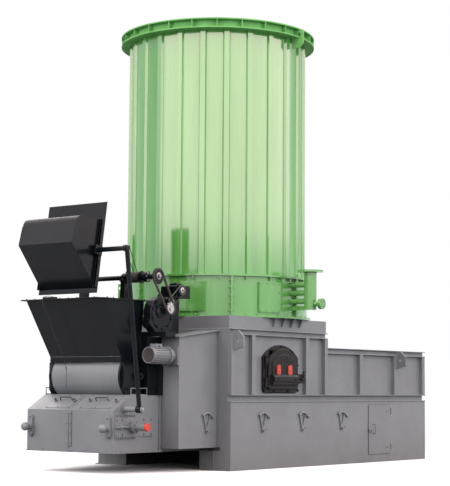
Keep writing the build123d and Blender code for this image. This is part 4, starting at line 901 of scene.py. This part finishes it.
# Tie wire from the hopper's rim to the grate box, on a smooth curve with two knots
wire = [(-0.20, -2.470, 1.805), (-0.20, -2.53, 1.812), (-0.21, -2.60, 1.800), (-0.215, -2.618, 1.770),
        (-0.205, -2.610, 1.70), (-0.200, -2.560, 1.62), (-0.205, -2.470, 1.46), (-0.195, -2.380, 1.30),
        (-0.200, -2.300, 1.16), (-0.195, -2.268, 1.05), (-0.200, -2.262, 0.95), (-0.196, -2.262, 0.875),
        (-0.190, -2.245, 0.812)]
smooth = []
for i in range(len(wire) - 1):
    p0, p1, p2, p3 = (Vector(wire[max(0, min(len(wire) - 1, i + d))]) for d in (-1, 0, 1, 2))
    for k in range(6):
        t = k / 6
        smooth.append(0.5 * (2 * p1 + (p2 - p0) * t + (2 * p0 - 5 * p1 + 4 * p2 - p3) * t * t
                             + (3 * p1 - p0 - 3 * p2 + p3) * t * t * t))
smooth.append(Vector(wire[-1]))
bm = bmesh.new()
sweep(bm, smooth, 0.0028, sides=6)
for z in (1.30, 1.06):
    near = min(smooth, key=lambda p: abs(p.z - z))
    rod(bm, near - raised(0.012), near + raised(0.012), 0.0055, sides=8)
piece(bm, "tie_wire", "furnace_steel", sharp=60)

# Bucket: corner welds and clamp bolts, in the bucket's own lean
lean = math.radians(8.34)
foot = Vector((0, -2.480, 1.820))
forward = Vector((0, -math.cos(lean), math.sin(lean)))
rising = Vector((0, math.sin(lean), math.cos(lean)))
bucket_side = 0.3755


def on_bucket(x, ahead, level):
    """Point in the bucket's own frame."""
    return foot + rising * level + forward * ahead + sideways(x)


bm = bmesh.new()
for side in (1, -1):
    x = side * bucket_side
    corners = [on_bucket(x, ahead, level) for ahead, level in ((0, 0.062), (0.408, 0.452), (0.385, 0.655))]
    for start, end in zip(corners, corners[1:]):
        weld(bm, start, end, 0.003)
    weld(bm, on_bucket(x, 0.002, 0.065), on_bucket(x, 0.002, 0.775), 0.003)
for x in (0.395, 0.418):
    for level in (0.405, 0.480):
        bolt(bm, on_bucket(x, 0.094, level), forward, across=0.012)
piece(bm, "bucket_details", "black_paint", "bucket_arm", sharp=50)

# Arm: nut on its pivot, weld round its head
bm = bmesh.new()
bolt(bm, (0.855, -2.256, 0.655), RIGHT, across=0.022)
piece(bm, "pivot_nut", "machined_steel")

head = Vector((0.815, -2.476, 2.266))
bm = bmesh.new()
ring = [head + round_x(0.027, a, 0.027 * math.cos(a) * 0.4) for a in even_turns(40)]
sweep(bm, ring, 0.0035, sides=5, closed=True)
piece(bm, "arm_weld", "black_paint", "bucket_arm", sharp=60)

# Grate motor: fan grille of rings and spokes over a dark disc, painted shade in the grille's openings
motor = Vector((0.750, 0, 1.205))
grille_y, grille_step, spoke_end = -2.0535, 0.018, 0.074
bm = bmesh.new()
# Painted shade: a dark disc behind the rings fills the grille's openings
lathe(bm, [(0.0, 0.0755), (0.0012, 0.0765), (0.0030, 0.0765)], motor + Vector((0, -2.0530, 0)), (0, 1, 0))
for k in range(4):
    ring = [motor + round_y(grille_step * (k + 1), a, grille_y) for a in even_turns(48)]
    sweep(bm, ring, 0.0020, sides=5, closed=True)
for a in even_turns(8):
    spoke = [motor + round_y(radius, a, grille_y) for radius in (grille_step, spoke_end)]
    sweep(bm, spoke, 0.0018, sides=5)
piece(bm, "fan_grille_over_shade", "furnace_steel")

# Grate motor: cowl screws, flange bolts, terminal box screws and cable gland
cowl_y, flange_y, box_top = -2.041, -1.790, 1.321
bm = bmesh.new()
for a in even_turns(4, 0.5):
    bolt(bm, motor + round_y(0.0845, a, cowl_y), round_y(1.0, a), across=0.009, washer=False)
for a in even_turns(8, 0.5):
    bolt(bm, motor + round_y(0.088, a, flange_y), FORWARD, across=0.013)
for x in (-0.033, 0.033):
    for y in (-1.972, -1.888):
        bolt(bm, (motor.x + x, y, box_top), UP, across=0.007, washer=False)
rod(bm, (motor.x + 0.040, -1.93, 1.300), (motor.x + 0.062, -1.93, 1.300), 0.011, sides=16, bevel=0.001)
piece(bm, "grate_motor_fittings", "grey_paint")

# Stage: a floor that is pale to the rays that show it, and fades to white away from the object
floor_half = 60
fade_start, fade_end = 3.2, 5.5
lit_tone, mirrored_tone, pale_tone = (0.13, 0.13, 0.135), (0.55, 0.55, 0.555), (0.92, 0.93, 0.94)
corners = [(x * floor_half, y * floor_half, 0) for x, y in ((-1, -1), (1, -1), (1, 1), (-1, 1))]
floor_mesh = bpy.data.meshes.new("floor")
floor_mesh.from_pydata(corners, [], [(0, 1, 2, 3)])
floor = bpy.data.objects.new("floor", floor_mesh)
bpy.context.scene.collection.objects.link(floor)
floor_look = bpy.data.materials.new("floor")
floor_look.use_nodes = True
tree = floor_look.node_tree
tree.nodes.clear()
floor_out = tree.nodes.new("ShaderNodeOutputMaterial")
floor_rays = shown_rays(tree)
shown_tone = mixed(tree, rays(tree, "Is Camera Ray"), mirrored_tone, pale_tone)
floor_shader = tree.nodes.new("ShaderNodeBsdfDiffuse")
tree.links.new(mixed(tree, floor_rays, lit_tone, shown_tone), floor_shader.inputs["Color"])
floor_glow = node(tree, "ShaderNodeEmission", Color=(1, 1, 1, 1), Strength=1.0)
floor_reach = tree.nodes.new("ShaderNodeVectorMath")
floor_reach.operation = "LENGTH"
tree.links.new(tree.nodes.new("ShaderNodeTexCoord").outputs["Object"], floor_reach.inputs[0])
floor_fade = ranged(tree, floor_reach.outputs["Value"], From_Min=fade_start, From_Max=fade_end)
floor_blend = mixed_shader(tree, maths(tree, "MULTIPLY", floor_fade, floor_rays),
                           floor_shader.outputs["BSDF"], floor_glow.outputs["Emission"])
tree.links.new(floor_blend, floor_out.inputs["Surface"])
floor_mesh.materials.append(floor_look)

# Surroundings: plain light with a brighter, warmer band, low on the open side and high on the other
open_heading = math.radians(-36)
shut_share = 0.6
plain_lit, plain_shown = 0.32, 1.0
band_lit, band_shown = 2.15, 3.75
plain_tint, band_tint = (0.94, 0.98, 1.0), (1.0, 0.85, 0.81)
world = bpy.data.worlds.new("surroundings")
bpy.context.scene.world = world
world.use_nodes = True
sky = world.node_tree
sky.nodes.clear()
sky_out = sky.nodes.new("ShaderNodeOutputWorld")
seen = node(sky, "ShaderNodeBackground", Color=(1, 1, 1, 1), Strength=1.0)
lit = node(sky, "ShaderNodeBackground")
direction = sky.nodes.new("ShaderNodeTexCoord").outputs["Generated"]
sky_parts = sky.nodes.new("ShaderNodeSeparateXYZ")
sky.links.new(direction, sky_parts.inputs["Vector"])
height = sky_parts.outputs["Z"]
sky_side = sky.nodes.new("ShaderNodeVectorMath")
sky_side.operation = "DOT_PRODUCT"
sky_side.inputs[1].default_value = (math.cos(open_heading), math.sin(open_heading), 0)
sky.links.new(direction, sky_side.inputs[0])
open_side = ranged(sky, sky_side.outputs["Value"], "SMOOTHSTEP", From_Min=-0.24, From_Max=0.10)
shut_side = maths(sky, "SUBTRACT", shut_share, maths(sky, "MULTIPLY", open_side, shut_share))
low_edge = ranged(sky, height, "SMOOTHSTEP", From_Min=0.072, From_Max=0.112)
high_edge = ranged(sky, height, "SMOOTHSTEP", From_Min=0.27, From_Max=0.36)
band = maths(sky, "ADD", maths(sky, "MULTIPLY", open_side, low_edge),
             maths(sky, "MULTIPLY", shut_side, high_edge))
shown = shown_rays(sky)
plain = maths(sky, "ADD", maths(sky, "MULTIPLY", shown, plain_shown - plain_lit), plain_lit)
bright = maths(sky, "ADD", maths(sky, "MULTIPLY", shown, band_shown - band_lit), band_lit)
strength = maths(sky, "ADD", maths(sky, "MULTIPLY", band, bright), plain)
sky.links.new(strength, lit.inputs["Strength"])
sky.links.new(mixed(sky, band, plain_tint, band_tint), lit.inputs["Color"])
surroundings = mixed_shader(sky, rays(sky, "Is Camera Ray"), lit.outputs["Background"],
                            seen.outputs["Background"])
sky.links.new(surroundings, sky_out.inputs["Surface"])

# Soft lamps, each aimed at a point, that don't show in gloss
lamp_size, lamp_tint = (7.0, 8.0), (0.88, 0.96, 1.0)
for name, at, aim, power in (("key", (-2.5, -11.5, 5.5), (0, 0, 2.4), 750),
                             ("side", (11.5, -1.5, 5.0), (0, 0.5, 1.6), 650),
                             ("rear", (-7.0, 11.5, 5.5), (0, 0.5, 2.0), 600)):
    data = bpy.data.lights.new(name, "AREA")
    data.shape = "RECTANGLE"
    data.size, data.size_y = lamp_size
    data.energy = power
    data.color = lamp_tint
    lamp = bpy.data.objects.new(name, data)
    bpy.context.scene.collection.objects.link(lamp)
    lamp.location = at
    lamp.visible_glossy = False
    lamp.rotation_mode = "QUATERNION"
    lamp.rotation_quaternion = (Vector(aim) - Vector(at)).to_track_quat("-Z", "Y")

# Camera at the photograph's place
photo_high, focal_pixels, sensor_wide = 486, 1500, 36
camera_at = (10.805, -13.666, 0.881)
azimuth, tilt, roll = math.radians(38), math.radians(5.5), math.radians(0.4)
optics = bpy.data.cameras.new("view")
optics.lens = focal_pixels * sensor_wide / photo_high
optics.clip_end = 200
camera = bpy.data.objects.new("view", optics)
bpy.context.scene.collection.objects.link(camera)
ahead = Vector((-math.sin(azimuth) * math.cos(tilt), math.cos(azimuth) * math.cos(tilt), math.sin(tilt)))
across = ahead.cross(Vector(UP)).normalized()
upward = across.cross(ahead)
camera_x = across * math.cos(roll) + upward * math.sin(roll)
camera_y = upward * math.cos(roll) - across * math.sin(roll)
turned = Matrix((camera_x, camera_y, -ahead)).transposed().to_4x4()
camera.matrix_world = Matrix.Translation(camera_at) @ turned
bpy.context.scene.camera = camera
bpy.context.scene.view_settings.view_transform = "Standard"
